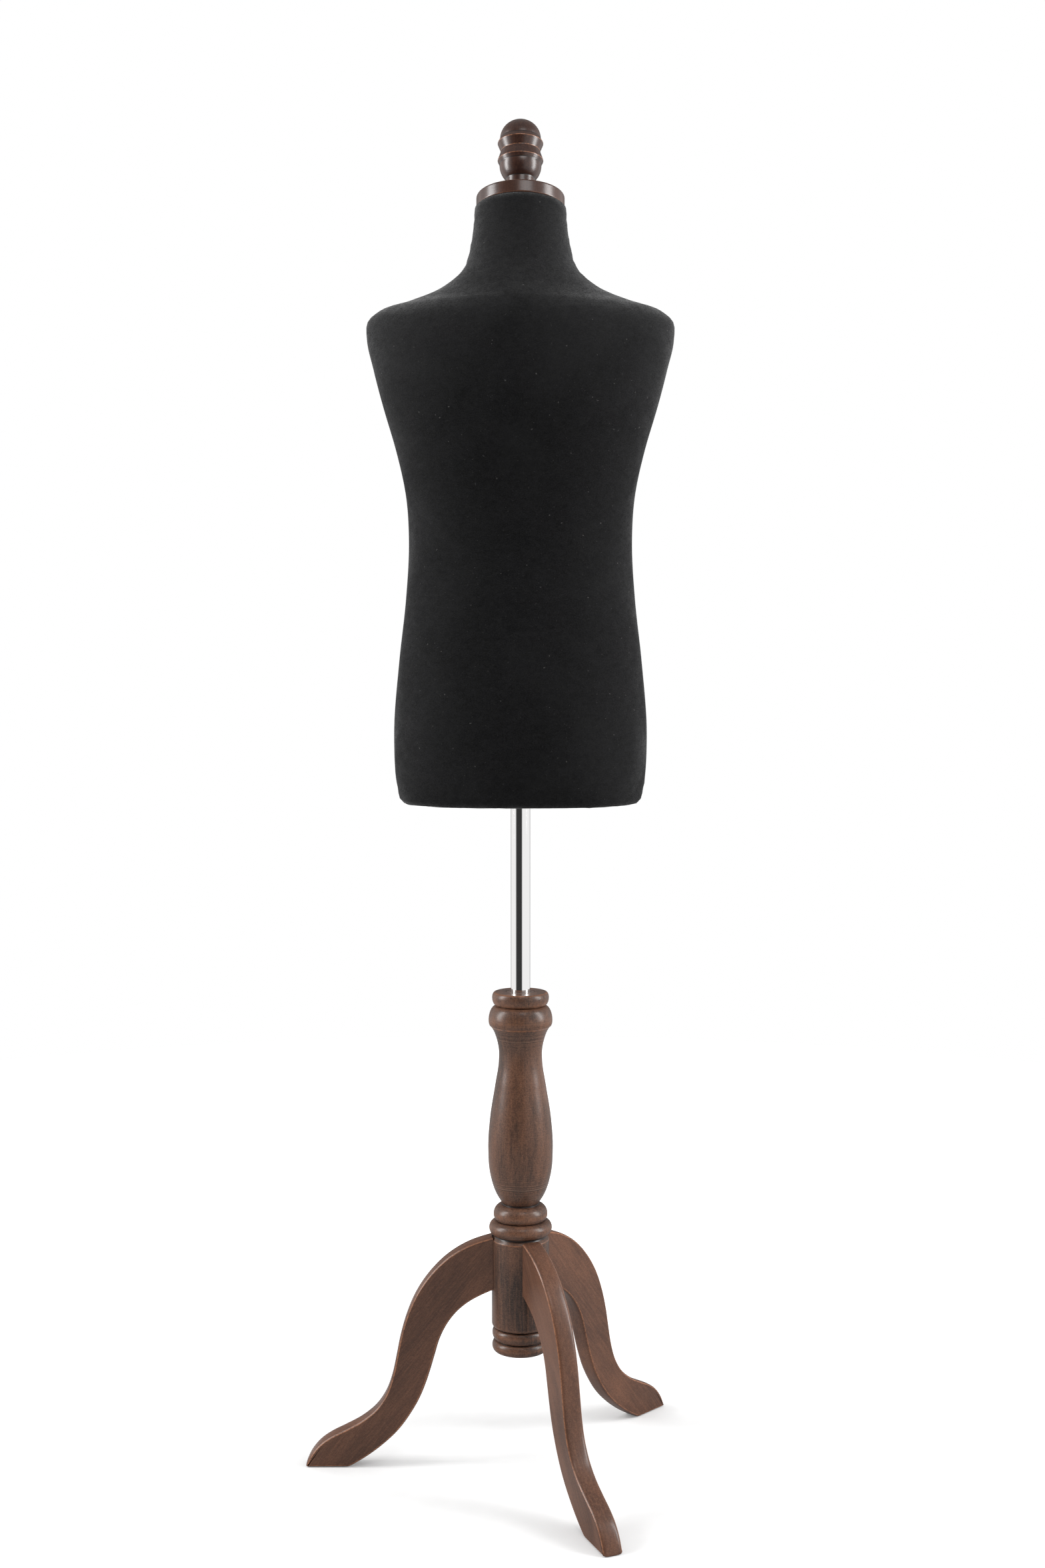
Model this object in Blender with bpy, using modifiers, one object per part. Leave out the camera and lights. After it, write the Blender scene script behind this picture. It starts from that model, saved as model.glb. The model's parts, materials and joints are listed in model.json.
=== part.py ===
"""Dress form: a fabric-covered torso on a chrome pole, a turned wooden column and three cabriole legs.

Units are metres, +Z is up and the torso faces +Y. It is drawn round the pole's axis and then moved
so that the origin is at floor level in the middle of the box that holds the whole object.
The torso turns on the pole, the pole slides in the column, and a screw with a knob clamps it.
"""
import math

import bmesh
import bpy
from mathutils import Vector

# Overall levels and the gap left between neighbours
GAP = 0.0003
COLUMN_BOTTOM_Z = 0.137
COLUMN_TOP_Z = 0.558
HEM_Z = 0.7763

# Pole and its guides
POLE_R = 0.0111
POLE_WALL = 0.0012
POLE_BOTTOM_Z = 0.355
POLE_TOP_Z = 0.930
RUNNING_R = POLE_R + GAP
COLUMN_BORE_R = 0.0125
BUSH_FLANGE_R = 0.0165
BUSH_SLEEVE_R = 0.0140
BUSH_FLANGE_T = 0.003
BUSH_LENGTH = 0.020
PLUG_STEM = 0.020

# Column: the hollow foot that holds the leg nuts
NUT_CHAMBER_R = 0.022
NUT_CHAMBER_TOP_Z = 0.285
CYLINDER_R = 0.0334

# Legs: one stock thickness; the gap between the left and right legs is the widest (counter-clockwise from +X)
LEG_ANGLES = {"front": -67.0, "left": 180.0, "right": 46.0}
LEG_THICKNESS = 0.022
LEG_EDGE_R = 0.0035
LEG_ROOT_R = CYLINDER_R + GAP
BOLT_HEIGHTS = {"upper": 0.254, "lower": 0.224}
BOLT_R = 0.003
BOLT_HOLE_R = 0.0034
BOLT_INNER_END = 0.0142
BOLT_LENGTH = 0.050
NUT_OUTER_FACE = 0.0205
NUT_THICKNESS = 0.005
NUT_FLATS = 0.010

# Pole clamp, on the column's front side
CLAMP_Z = 0.5265
INSERT_R = 0.0063
INSERT_BORE_R = 0.0044
INSERT_SPAN = (0.0135, 0.0335)
SCREW_R = 0.0040
PAD_SPAN = (POLE_R + GAP, 0.0170)
SCREW_TIP_R = 0.0022
SCREW_TIP_Y = 0.0145
SCREW_END_Y = 0.0590
KNOB_SPAN = (0.0400, 0.0640)
KNOB_R = 0.0145
KNOB_LOBES = 6

# Torso
SKIN = 0.0012
SKIN_GAP = 0.0004
SHELL = 0.004
TORSO_COLUMNS = 24
HEM_CORNER_R = 0.012
HEM_RETURN = 0.025
BOARD_SPAN = (0.791, 0.803)
BOARD_THICKNESS = BOARD_SPAN[1] - BOARD_SPAN[0]
SOCKET_R = 0.0135
SOCKET_FLANGE_R = 0.036
SOCKET_FLANGE_T = 0.003
THRUST_PAD_T = 0.006
FLANGE_SCREW_CIRCLE_R = 0.027
FLANGE_SCREW_R = 0.0018
FLANGE_SCREW_LENGTH = 0.012

# Neck: its top face leans forward, and the cap and finial stand square to it
NECK_CENTRE = (0.0, 0.022, 1.451)
NECK_LEAN = math.radians(9.5)
CAP_R = 0.0503
CAP_T = 0.0145
CAP_EDGE_R = 0.003
NECK_BLOCK_R = 0.0432
NECK_BLOCK_T = 0.030
NECK_INSERT_R = 0.0058
NECK_INSERT_LENGTH = 0.018
DOWEL_R = 0.004
DOWEL_OFFSET = 0.028
DOWEL_HALF = 0.009
STUD_R = 0.003
STUD_HOLE_R = 0.0035
STUD_BELOW = 0.016
STUD_IN_FINIAL = 0.020
DOME_R = 0.0232
DOME_BASE_H = 0.0720
FINIAL_RING_R = 0.0261
FINIAL_VALLEY_R = 0.0223
CUP_R = 0.0238
CUP_TOP_H = 0.0400
COLLAR_R = 0.0166

# Height, half width, centre forward of the pole, half depth, squareness (2 is an ellipse), lean in degrees
TORSO_SECTIONS = (
    (1.4506, 0.0520, 0.0220, 0.0500, 2.0, 9.5),
    (1.4125, 0.0557, 0.0165, 0.0535, 2.0, 6.0),
    (1.3790, 0.0655, 0.0115, 0.0605, 2.0, 3.0),
    (1.3605, 0.0870, 0.0075, 0.0680, 1.75, 0.0),
    (1.3419, 0.1295, 0.0030, 0.0760, 1.50, 0.0),
    (1.3316, 0.1605, 0.0010, 0.0800, 1.55, 0.0),
    (1.3200, 0.1730, 0.0000, 0.0835, 1.70, 0.0),
    (1.3010, 0.1737, 0.0000, 0.0880, 1.90, 0.0),
    (1.2670, 0.1660, 0.0000, 0.0930, 2.15, 0.0),
    (1.2230, 0.1545, 0.0020, 0.0960, 2.30, 0.0),
    (1.1780, 0.1410, 0.0030, 0.0945, 2.4, 0.0),
    (1.1220, 0.1295, 0.0020, 0.0885, 2.3, 0.0),
    (1.0765, 0.1270, 0.0010, 0.0860, 2.2, 0.0),
    (1.0080, 0.1305, -0.0010, 0.0895, 2.2, 0.0),
    (0.9400, 0.1378, -0.0050, 0.0945, 2.3, 0.0),
    (0.8485, 0.1440, -0.0080, 0.0985, 2.3, 0.0),
    (0.8030, 0.1415, -0.0090, 0.0970, 2.3, 0.0),
)
HEM_SECTION = (HEM_Z + HEM_CORNER_R, 0.1390, -0.0090, 0.0950, 2.3, 0.0)


def clear_scene():
    for item in list(bpy.data.objects):
        bpy.data.objects.remove(item, do_unlink=True)


def new_collection(name):
    collection = bpy.data.collections.new(name)
    bpy.context.scene.collection.children.link(collection)
    return collection


def new_material(name, colour, roughness, metallic=0.0):
    material = bpy.data.materials.new(name)
    material.use_nodes = True
    shader = material.node_tree.nodes["Principled BSDF"]
    shader.inputs["Base Color"].default_value = (*colour, 1.0)
    shader.inputs["Roughness"].default_value = roughness
    shader.inputs["Metallic"].default_value = metallic
    material.diffuse_color = (*colour, 1.0)
    return material


clear_scene()
PARTS = new_collection("dress_form")
CUTTERS = new_collection("dress_form_cutters")
CUTTERS.hide_render = True

STAINED_WOOD = new_material("stained_wood", (0.105, 0.062, 0.048), 0.38)
PLYWOOD = new_material("plywood", (0.52, 0.37, 0.22), 0.65)
BEECH = new_material("beech", (0.58, 0.40, 0.24), 0.60)
FABRIC = new_material("black_fabric", (0.012, 0.012, 0.013), 0.95)
SHELL_LAMINATE = new_material("shell_laminate", (0.45, 0.40, 0.32), 0.70)
CHROME = new_material("chrome", (0.75, 0.75, 0.76), 0.08, 1.0)
ZINC_STEEL = new_material("zinc_steel", (0.55, 0.56, 0.58), 0.35, 1.0)
BRASS = new_material("brass", (0.70, 0.50, 0.20), 0.30, 1.0)
WHITE_NYLON = new_material("white_nylon", (0.75, 0.75, 0.72), 0.45)
BLACK_PLASTIC = new_material("black_plastic", (0.02, 0.02, 0.02), 0.40)
BROWN_PLASTIC = new_material("brown_plastic", (0.080, 0.050, 0.040), 0.45)


# ---------------------------------------------------------------- building helpers

def add_object(name, data, material, parent=None, location=(0, 0, 0), rotation=(0, 0, 0)):
    part = bpy.data.objects.new(name, data)
    PARTS.objects.link(part)
    part.parent = parent
    part.location = location
    part.rotation_euler = rotation
    if material is not None and not data.materials:
        data.materials.append(material)
    return part


def add_empty(name, location=(0, 0, 0), rotation=(0, 0, 0), parent=None):
    empty = bpy.data.objects.new(name, None)
    PARTS.objects.link(empty)
    empty.location = location
    empty.rotation_euler = rotation
    empty.parent = parent
    return empty


def wire_mesh(name, points, closed):
    """A chain of edges in the XZ plane, ready for a Screw modifier."""
    mesh = bpy.data.meshes.new(name)
    edges = [(i, i + 1) for i in range(len(points) - 1)]
    if closed:
        edges.append((len(points) - 1, 0))
    mesh.from_pydata([(r, 0.0, z) for r, z in points], edges, [])
    return mesh


def turned(name, profile, steps, material, closed=True, **placing):
    """A turned piece: the profile (radius, height) runs down the outer side."""
    part = add_object(name, wire_mesh(name, profile, closed), material, **placing)
    screw = part.modifiers.new("turning", 'SCREW')
    screw.angle = math.tau
    screw.steps = steps
    screw.render_steps = steps
    screw.use_merge_vertices = True
    screw.merge_threshold = 0.00001
    screw.use_smooth_shade = True
    return part


def solid_rod(name, radius, low, high, steps, material, **placing):
    profile = [(0, high), (radius, high), (radius, low), (0, low)]
    return turned(name, profile, steps, material, closed=False, **placing)


def cylinder_mesh(name, radius, low, high, sides):
    """A closed cylinder along local Z from low to high."""
    mesh = bpy.data.meshes.new(name)
    shape = bmesh.new()
    bmesh.ops.create_cone(shape, cap_ends=True, segments=sides, radius1=radius, radius2=radius,
                          depth=high - low)
    bmesh.ops.translate(shape, verts=shape.verts, vec=(0, 0, (low + high) / 2))
    shape.to_mesh(mesh)
    shape.free()
    return mesh


def cutter(name, radius, low, high, sides=16, parent=None, location=(0, 0, 0), rotation=(0, 0, 0)):
    tool = bpy.data.objects.new(name, cylinder_mesh(name, radius, low, high, sides))
    CUTTERS.objects.link(tool)
    tool.parent = parent
    tool.location = location
    tool.rotation_euler = rotation
    tool.hide_render = True
    tool.display_type = 'WIRE'
    return tool


def cut(part, tool):
    boolean = part.modifiers.new("cut_" + tool.name, 'BOOLEAN')
    boolean.operation = 'DIFFERENCE'
    boolean.solver = 'EXACT'
    boolean.object = tool


def baked_mesh(part):
    """The part's evaluated mesh with its loose caps welded."""
    bpy.context.view_layer.update()
    evaluated = part.evaluated_get(bpy.context.evaluated_depsgraph_get())
    mesh = bpy.data.meshes.new_from_object(evaluated)
    shape = bmesh.new()
    shape.from_mesh(mesh)
    bmesh.ops.remove_doubles(shape, verts=shape.verts, dist=0.00001)
    bmesh.ops.recalc_face_normals(shape, faces=shape.faces)
    shape.to_mesh(mesh)
    shape.free()
    mesh.shade_smooth()
    mesh.set_sharp_from_angle(angle=math.radians(35))
    return mesh


def flat_outline(name, points, thickness, corners=(), resolution=1):
    """A flat plate from a closed outline in local XY: a Bezier where corners are given, or straight."""
    curve = bpy.data.curves.new(name, 'CURVE')
    curve.dimensions = '2D'
    curve.fill_mode = 'BOTH'
    curve.extrude = thickness / 2
    curve.resolution_u = resolution
    if resolution > 1:
        spline = curve.splines.new('BEZIER')
        spline.bezier_points.add(len(points) - 1)
        for index, point in enumerate(points):
            knot = spline.bezier_points[index]
            knot.co = (*point, 0)
            handle = 'VECTOR' if index in corners else 'AUTO'
            knot.handle_left_type = handle
            knot.handle_right_type = handle
    else:
        spline = curve.splines.new('POLY')
        spline.points.add(len(points) - 1)
        for knot, point in zip(spline.points, points):
            knot.co = (*point, 0, 1)
    spline.use_cyclic_u = True
    blank = bpy.data.objects.new(name, curve)
    PARTS.objects.link(blank)
    mesh = baked_mesh(blank)
    bpy.data.objects.remove(blank, do_unlink=True)
    return mesh


def bevelled(part, width):
    bevel = part.modifiers.new("rounded_edges", 'BEVEL')
    bevel.width = width
    bevel.segments = 1
    bevel.limit_method = 'ANGLE'
    bevel.angle_limit = math.radians(40)


def bead(top, peak, bottom, points):
    """A rounded bead from top over peak to bottom, each (radius, height): two quarter ellipses."""
    path = []
    for step in range(2 * points + 1):
        angle = math.pi / 2 * (1 - step / points)
        edge = top if step < points else bottom
        path.append((edge[0] + (peak[0] - edge[0]) * math.cos(angle),
                     peak[1] + (edge[1] - peak[1]) * abs(math.sin(angle))))
    return path


# ---------------------------------------------------------------- base: column, legs and their fixings

def column_profile():
    """Outer turning from the top face down, then the stepped bore back up."""
    outside = bead((0.0296, COLUMN_TOP_Z), (0.0328, 0.5517), (0.0281, 0.5425), points=2)
    outside += bead((0.0284, 0.5421), (0.0369, 0.5251), (0.0340, 0.5184), points=3)
    outside += [(0.0310, 0.5127), (0.0275, 0.5025), (0.0250, 0.4900), (0.0251, 0.4770)]
    outside += [(0.0293, 0.4500), (0.0352, 0.4125), (0.0376, 0.3750), (0.0352, 0.3450)]
    outside += [(0.0283, 0.3230), (0.0213, 0.3115)]
    outside += bead((0.0215, 0.3102), (0.0314, 0.2985), (0.0280, 0.2915), points=2)
    outside += bead((0.0285, 0.2912), (0.0366, 0.2825), (0.0300, 0.2722), points=2)
    outside += [(0.0305, 0.2715), (CYLINDER_R, 0.2668), (CYLINDER_R, 0.1690), (0.0310, 0.1652)]
    outside += bead((0.0300, 0.1648), (0.0329, 0.1588), (0.0300, 0.1505), points=2)
    outside += bead((0.0302, 0.1501), (0.0329, 0.1437), (0.0285, COLUMN_BOTTOM_Z), points=2)
    recess_z = COLUMN_TOP_Z - BUSH_FLANGE_T - GAP
    sleeve_end_z = COLUMN_TOP_Z - BUSH_LENGTH - GAP
    inside = [
        (NUT_CHAMBER_R, COLUMN_BOTTOM_Z),
        (NUT_CHAMBER_R, NUT_CHAMBER_TOP_Z),
        (COLUMN_BORE_R, NUT_CHAMBER_TOP_Z),
        (COLUMN_BORE_R, sleeve_end_z),
        (BUSH_SLEEVE_R + GAP, sleeve_end_z),
        (BUSH_SLEEVE_R + GAP, recess_z),
        (BUSH_FLANGE_R + GAP, recess_z),
        (BUSH_FLANGE_R + GAP, COLUMN_TOP_Z),
    ]
    return outside + inside


def build_column():
    column = turned("column", column_profile(), 24, STAINED_WOOD)
    for side, angle in LEG_ANGLES.items():
        for level, height in BOLT_HEIGHTS.items():
            tool = cutter("column_hole_" + side + "_" + level, BOLT_HOLE_R, 0.018, 0.040, sides=12,
                          location=(0, 0, height), rotation=(0, math.pi / 2, math.radians(angle)))
            cut(column, tool)
    clamp_hole = cutter("column_clamp_hole", INSERT_R + GAP, 0.008, 0.045,
                        location=(0, 0, CLAMP_Z), rotation=(-math.pi / 2, 0, 0))
    cut(column, clamp_hole)


def build_top_bush():
    low = COLUMN_TOP_Z - BUSH_LENGTH
    step = COLUMN_TOP_Z - BUSH_FLANGE_T
    profile = [
        (RUNNING_R, COLUMN_TOP_Z),
        (BUSH_FLANGE_R, COLUMN_TOP_Z),
        (BUSH_FLANGE_R, step),
        (BUSH_SLEEVE_R, step),
        (BUSH_SLEEVE_R, low),
        (RUNNING_R, low),
    ]
    turned("top_bush", profile, 24, BROWN_PLASTIC)


# Cabriole leg seen from its side: distance from the pole's axis, height above the floor
LEG_OUTLINE = (
    (LEG_ROOT_R, 0.2728),
    (0.0860, 0.2480),
    (0.1235, 0.2020),
    (0.1400, 0.1540),
    (0.1500, 0.1070),
    (0.1670, 0.0710),
    (0.2050, 0.0450),
    (0.2385, 0.0230),
    (0.2500, 0.0000),
    (0.2000, 0.0000),
    (0.1600, 0.0265),
    (0.1225, 0.0715),
    (0.1045, 0.1150),
    (0.0935, 0.1530),
    (0.0700, 0.1885),
    (LEG_ROOT_R, 0.2095),
)
LEG_CORNERS = (0, 8, 9, 15)


def leg_mesh():
    """Sawn outline with rounded edges and two blind holes for its hanger bolts."""
    outline = flat_outline("leg_outline", LEG_OUTLINE, LEG_THICKNESS, corners=LEG_CORNERS, resolution=4)
    blank = add_object("leg_blank", outline, STAINED_WOOD)
    bevelled(blank, LEG_EDGE_R)
    for level, height in BOLT_HEIGHTS.items():
        tool = cutter("leg_hole_" + level, BOLT_HOLE_R, 0.020, BOLT_INNER_END + BOLT_LENGTH + GAP,
                      sides=12, location=(0, height, 0), rotation=(0, math.pi / 2, 0))
        cut(blank, tool)
    mesh = baked_mesh(blank)
    bpy.data.objects.remove(blank, do_unlink=True)
    return mesh


def bolt_profile():
    tip = 0.004
    return [(0, BOLT_LENGTH), (BOLT_R * 0.35, BOLT_LENGTH), (BOLT_R, BOLT_LENGTH - tip),
            (BOLT_R, 0.0005), (BOLT_R - 0.0005, 0), (0, 0)]


def nut_mesh():
    mesh = cylinder_mesh("flange_nut", NUT_FLATS / math.sqrt(3), 0, NUT_THICKNESS, 6)
    blank = add_object("nut_blank", mesh, ZINC_STEEL)
    tool = cutter("nut_bore", BOLT_HOLE_R, -0.001, NUT_THICKNESS + 0.001, sides=12)
    cut(blank, tool)
    finished = baked_mesh(blank)
    bpy.data.objects.remove(blank, do_unlink=True)
    return finished


def build_legs():
    leg = leg_mesh()
    nut = nut_mesh()
    along_leg = (0, math.pi / 2, 0)
    for side, angle in LEG_ANGLES.items():
        frame = add_empty("leg_frame_" + side, rotation=(0, 0, math.radians(angle)))
        add_object("leg_" + side, leg, STAINED_WOOD, parent=frame, rotation=(math.pi / 2, 0, 0))
        for level, height in BOLT_HEIGHTS.items():
            turned("hanger_bolt_" + side + "_" + level, bolt_profile(), 12, ZINC_STEEL, closed=False,
                   parent=frame, location=(BOLT_INNER_END, 0, height), rotation=along_leg)
            add_object("flange_nut_" + side + "_" + level, nut, ZINC_STEEL, parent=frame,
                       location=(NUT_OUTER_FACE - NUT_THICKNESS, 0, height), rotation=along_leg)


# ---------------------------------------------------------------- pole clamp

def build_clamp():
    """Built along local Z, which the clamp frame lays along +Y."""
    frame = add_empty("clamp_axis", location=(0, 0, CLAMP_Z), rotation=(-math.pi / 2, 0, 0))
    low, high = INSERT_SPAN
    insert = [(INSERT_BORE_R, high), (INSERT_R, high), (INSERT_R, low), (INSERT_BORE_R, low)]
    turned("clamp_insert", insert, 16, BRASS, parent=frame)

    low, high = PAD_SPAN
    pocket_r = SCREW_TIP_R + GAP
    pocket_z = SCREW_TIP_Y - GAP
    pad = [(0, pocket_z), (pocket_r, pocket_z), (pocket_r, high), (SCREW_R, high), (SCREW_R, low),
           (0, low)]
    turned("clamp_pad", pad, 16, WHITE_NYLON, closed=False, parent=frame)

    shoulder = PAD_SPAN[1] + GAP
    screw = [(0, SCREW_END_Y), (SCREW_R, SCREW_END_Y), (SCREW_R, shoulder),
             (SCREW_TIP_R, shoulder), (SCREW_TIP_R, SCREW_TIP_Y), (0, SCREW_TIP_Y)]
    turned("clamp_screw", screw, 16, ZINC_STEEL, closed=False, parent=frame)
    build_knob(frame)


def build_knob(frame):
    low, high = KNOB_SPAN
    outline = []
    for step in range(KNOB_LOBES * 6):
        angle = math.tau * step / (KNOB_LOBES * 6)
        radius = KNOB_R * (0.93 + 0.07 * math.cos(KNOB_LOBES * angle))
        outline.append((radius * math.cos(angle), radius * math.sin(angle)))
    mesh = flat_outline("knob_outline", outline, high - low)
    knob = add_object("clamp_knob", mesh, BLACK_PLASTIC, parent=frame, location=(0, 0, (low + high) / 2))
    bevelled(knob, 0.002)
    socket = cutter("knob_socket", SCREW_R + GAP, low - 0.002, SCREW_END_Y + GAP, parent=frame)
    cut(knob, socket)


# ---------------------------------------------------------------- pole

def build_pole():
    inner = POLE_R - POLE_WALL
    tube = [(inner, POLE_TOP_Z), (POLE_R, POLE_TOP_Z), (POLE_R, POLE_BOTTOM_Z), (inner, POLE_BOTTOM_Z)]
    turned("pole_tube", tube, 24, CHROME)
    stem_r = inner - GAP
    guide_r = COLUMN_BORE_R - 2 * GAP
    guide = [
        (0, POLE_BOTTOM_Z + PLUG_STEM),
        (stem_r, POLE_BOTTOM_Z + PLUG_STEM),
        (stem_r, POLE_BOTTOM_Z - GAP),
        (guide_r, POLE_BOTTOM_Z - GAP),
        (guide_r, POLE_BOTTOM_Z - 0.012),
        (0, POLE_BOTTOM_Z - 0.012),
    ]
    turned("pole_foot_guide", guide, 24, WHITE_NYLON, closed=False)
    plug = [
        (0, POLE_TOP_Z + 0.003),
        (POLE_R, POLE_TOP_Z + 0.003),
        (POLE_R, POLE_TOP_Z + GAP),
        (stem_r, POLE_TOP_Z + GAP),
        (stem_r, POLE_TOP_Z - PLUG_STEM),
        (0, POLE_TOP_Z - PLUG_STEM),
    ]
    turned("pole_top_plug", plug, 24, WHITE_NYLON, closed=False)


# ---------------------------------------------------------------- torso

def section_ring(section, inset=0.0):
    """Points of one torso section, counter-clockwise seen from above."""
    height, half_width, centre, half_depth, squareness, lean = section
    power = 2 / squareness
    lean = math.radians(lean)
    ring = []
    for column in range(TORSO_COLUMNS):
        angle = math.tau * column / TORSO_COLUMNS
        cosine, sine = math.cos(angle), math.sin(angle)
        x = math.copysign(abs(cosine) ** power, cosine) * (half_width - inset)
        forward = math.copysign(abs(sine) ** power, sine) * (half_depth - inset)
        ring.append(Vector((x, centre + forward * math.cos(lean), height - forward * math.sin(lean))))
    return ring


def hem_rings(last_inset):
    """The rounded lower edge, and the band turned in under it by last_inset."""
    rings = []
    for turn in (0, 30, 60, 90):
        angle = math.radians(turn)
        inset = HEM_CORNER_R * (1 - math.cos(angle))
        height = HEM_SECTION[0] - HEM_CORNER_R * math.sin(angle)
        rings.append(section_ring((height, *HEM_SECTION[1:]), inset))
    if last_inset:
        rings.append(section_ring((HEM_Z, *HEM_SECTION[1:]), HEM_CORNER_R + last_inset))
    return rings


def torso_surface(name, depth, last_inset):
    """The lofted body surface, moved in by depth, open at the neck and underneath."""
    shape = bmesh.new()
    rings = [section_ring(section) for section in TORSO_SECTIONS] + hem_rings(last_inset)
    verts = [[shape.verts.new(point) for point in ring] for ring in rings]
    for upper, lower in zip(verts, verts[1:]):
        for column in range(TORSO_COLUMNS):
            after = (column + 1) % TORSO_COLUMNS
            shape.faces.new((upper[column], lower[column], lower[after], upper[after]))
    bmesh.ops.recalc_face_normals(shape, faces=shape.faces)
    shape.normal_update()
    moves = [(vert, vert.normal * depth * vert.calc_shell_factor()) for vert in shape.verts]
    for vert, move in moves:
        vert.co -= move
    mesh = bpy.data.meshes.new(name)
    shape.to_mesh(mesh)
    shape.free()
    mesh.shade_smooth()
    return mesh


def torso_shell(name, depth, thickness, last_inset, material):
    part = add_object(name, torso_surface(name, depth, last_inset), material)
    wall = part.modifiers.new("wall", 'SOLIDIFY')
    wall.thickness = thickness
    wall.offset = -1
    wall.use_even_offset = True
    return part


def build_torso():
    torso_shell("fabric_cover", 0, SKIN, HEM_RETURN, FABRIC)
    torso_shell("torso_shell", SKIN + SKIN_GAP, SHELL, 0, SHELL_LAMINATE)


def build_base_board():
    low, high = BOARD_SPAN
    inset = SKIN + SKIN_GAP + SHELL + 2 * GAP
    outline = [(point.x, point.y) for point in section_ring(HEM_SECTION, inset)]
    mesh = flat_outline("board_outline", outline, BOARD_THICKNESS)
    board = add_object("base_board", mesh, PLYWOOD, location=(0, 0, (low + high) / 2))
    cut(board, cutter("board_bore", SOCKET_R + GAP, low - 0.002, high + 0.002, sides=24))
    for index in range(4):
        angle = math.radians(45 + 90 * index)
        place = (FLANGE_SCREW_CIRCLE_R * math.cos(angle), FLANGE_SCREW_CIRCLE_R * math.sin(angle), 0)
        top = low + FLANGE_SCREW_LENGTH - SOCKET_FLANGE_T
        pilot = cutter("board_pilot_" + str(index + 1), FLANGE_SCREW_R + GAP, low - 0.002,
                       top + GAP, sides=12, location=place)
        cut(board, pilot)


def build_pole_socket():
    """A capped tube on a flange, screwed to the underside of the base board."""
    bottom = BOARD_SPAN[0] - GAP - SOCKET_FLANGE_T
    seat = POLE_TOP_Z + 0.003 + 2 * GAP + THRUST_PAD_T
    profile = [
        (0, seat + 0.003),
        (SOCKET_R, seat + 0.003),
        (SOCKET_R, bottom + SOCKET_FLANGE_T),
        (SOCKET_FLANGE_R, bottom + SOCKET_FLANGE_T),
        (SOCKET_FLANGE_R, bottom),
        (RUNNING_R, bottom),
        (RUNNING_R, seat),
        (0, seat),
    ]
    socket = turned("pole_socket", profile, 24, ZINC_STEEL, closed=False)
    solid_rod("thrust_pad", POLE_R - GAP, seat - GAP - THRUST_PAD_T, seat - GAP, 24, WHITE_NYLON)
    head_z = bottom - GAP
    for index in range(4):
        angle = math.radians(45 + 90 * index)
        place = (FLANGE_SCREW_CIRCLE_R * math.cos(angle), FLANGE_SCREW_CIRCLE_R * math.sin(angle), 0)
        hole = cutter("socket_hole_" + str(index + 1), FLANGE_SCREW_R + GAP, bottom - 0.002,
                      bottom + 0.006, sides=12, location=place)
        cut(socket, hole)
        tip_z = head_z + FLANGE_SCREW_LENGTH
        screw = [(0, tip_z), (FLANGE_SCREW_R, tip_z - 0.002), (FLANGE_SCREW_R, head_z),
                 (0.0035, head_z), (0.0030, head_z - 0.0018), (0, head_z - 0.0024)]
        turned("socket_screw_" + str(index + 1), screw, 12, ZINC_STEEL, closed=False, location=place)


# ---------------------------------------------------------------- neck and finial

def arc(centre, radius, start, end, points):
    path = []
    for step in range(points + 1):
        angle = math.radians(start + (end - start) * step / points)
        path.append((centre[0] + radius * math.cos(angle), centre[1] + radius * math.sin(angle)))
    return path


def build_neck(frame):
    """Block, cap and dowels, square to the neck's leaning top face at local z = 0."""
    edge = CAP_R - CAP_EDGE_R
    cap = [(STUD_HOLE_R, CAP_T)]
    cap += arc((edge, CAP_T - CAP_EDGE_R), CAP_EDGE_R, 90, 0, 2)
    cap += arc((edge, CAP_EDGE_R), CAP_EDGE_R, 0, -90, 2)
    cap += [(STUD_HOLE_R, 0)]
    neck_cap = turned("neck_cap", cap, 24, STAINED_WOOD, parent=frame)

    top = -GAP - SKIN_GAP
    block = [(0, top), (NECK_BLOCK_R, top), (NECK_BLOCK_R, top - NECK_BLOCK_T), (0, top - NECK_BLOCK_T)]
    neck_block = turned("neck_block", block, 24, BEECH, closed=False, parent=frame)

    insert_low = top - NECK_INSERT_LENGTH
    cut(neck_block, cutter("block_insert_hole", NECK_INSERT_R + GAP, insert_low - GAP, 0.001, parent=frame))
    insert = [(STUD_HOLE_R, top), (NECK_INSERT_R, top), (NECK_INSERT_R, insert_low),
              (STUD_HOLE_R, insert_low)]
    turned("neck_insert", insert, 16, BRASS, parent=frame)

    for name, side in (("left", -1), ("right", 1)):
        place = (side * DOWEL_OFFSET, 0, 0)
        solid_rod("cap_dowel_" + name, DOWEL_R, -DOWEL_HALF, DOWEL_HALF, 12, BEECH, parent=frame,
                  location=place)
        hole = cutter("dowel_hole_" + name, DOWEL_R + GAP, -DOWEL_HALF - GAP, DOWEL_HALF + GAP,
                      sides=12, parent=frame, location=place)
        cut(neck_cap, hole)
        cut(neck_block, hole)


def finial_profile():
    """A round dome, two sharp-edged rings, a cup and its collar, from the top down to the cap."""
    dome = arc((0, DOME_BASE_H), DOME_R, 90, 0, 5)
    dome[0] = (0, dome[0][1])  # exactly on the axis
    rings = [(FINIAL_RING_R, 0.0670), (FINIAL_VALLEY_R, 0.0560), (FINIAL_RING_R, 0.0450)]
    cup = arc((0, CUP_TOP_H), CUP_R, 0, -42, 4)
    return dome + rings + cup + [(COLLAR_R, 0.0230), (COLLAR_R, GAP), (0, GAP)]


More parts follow.
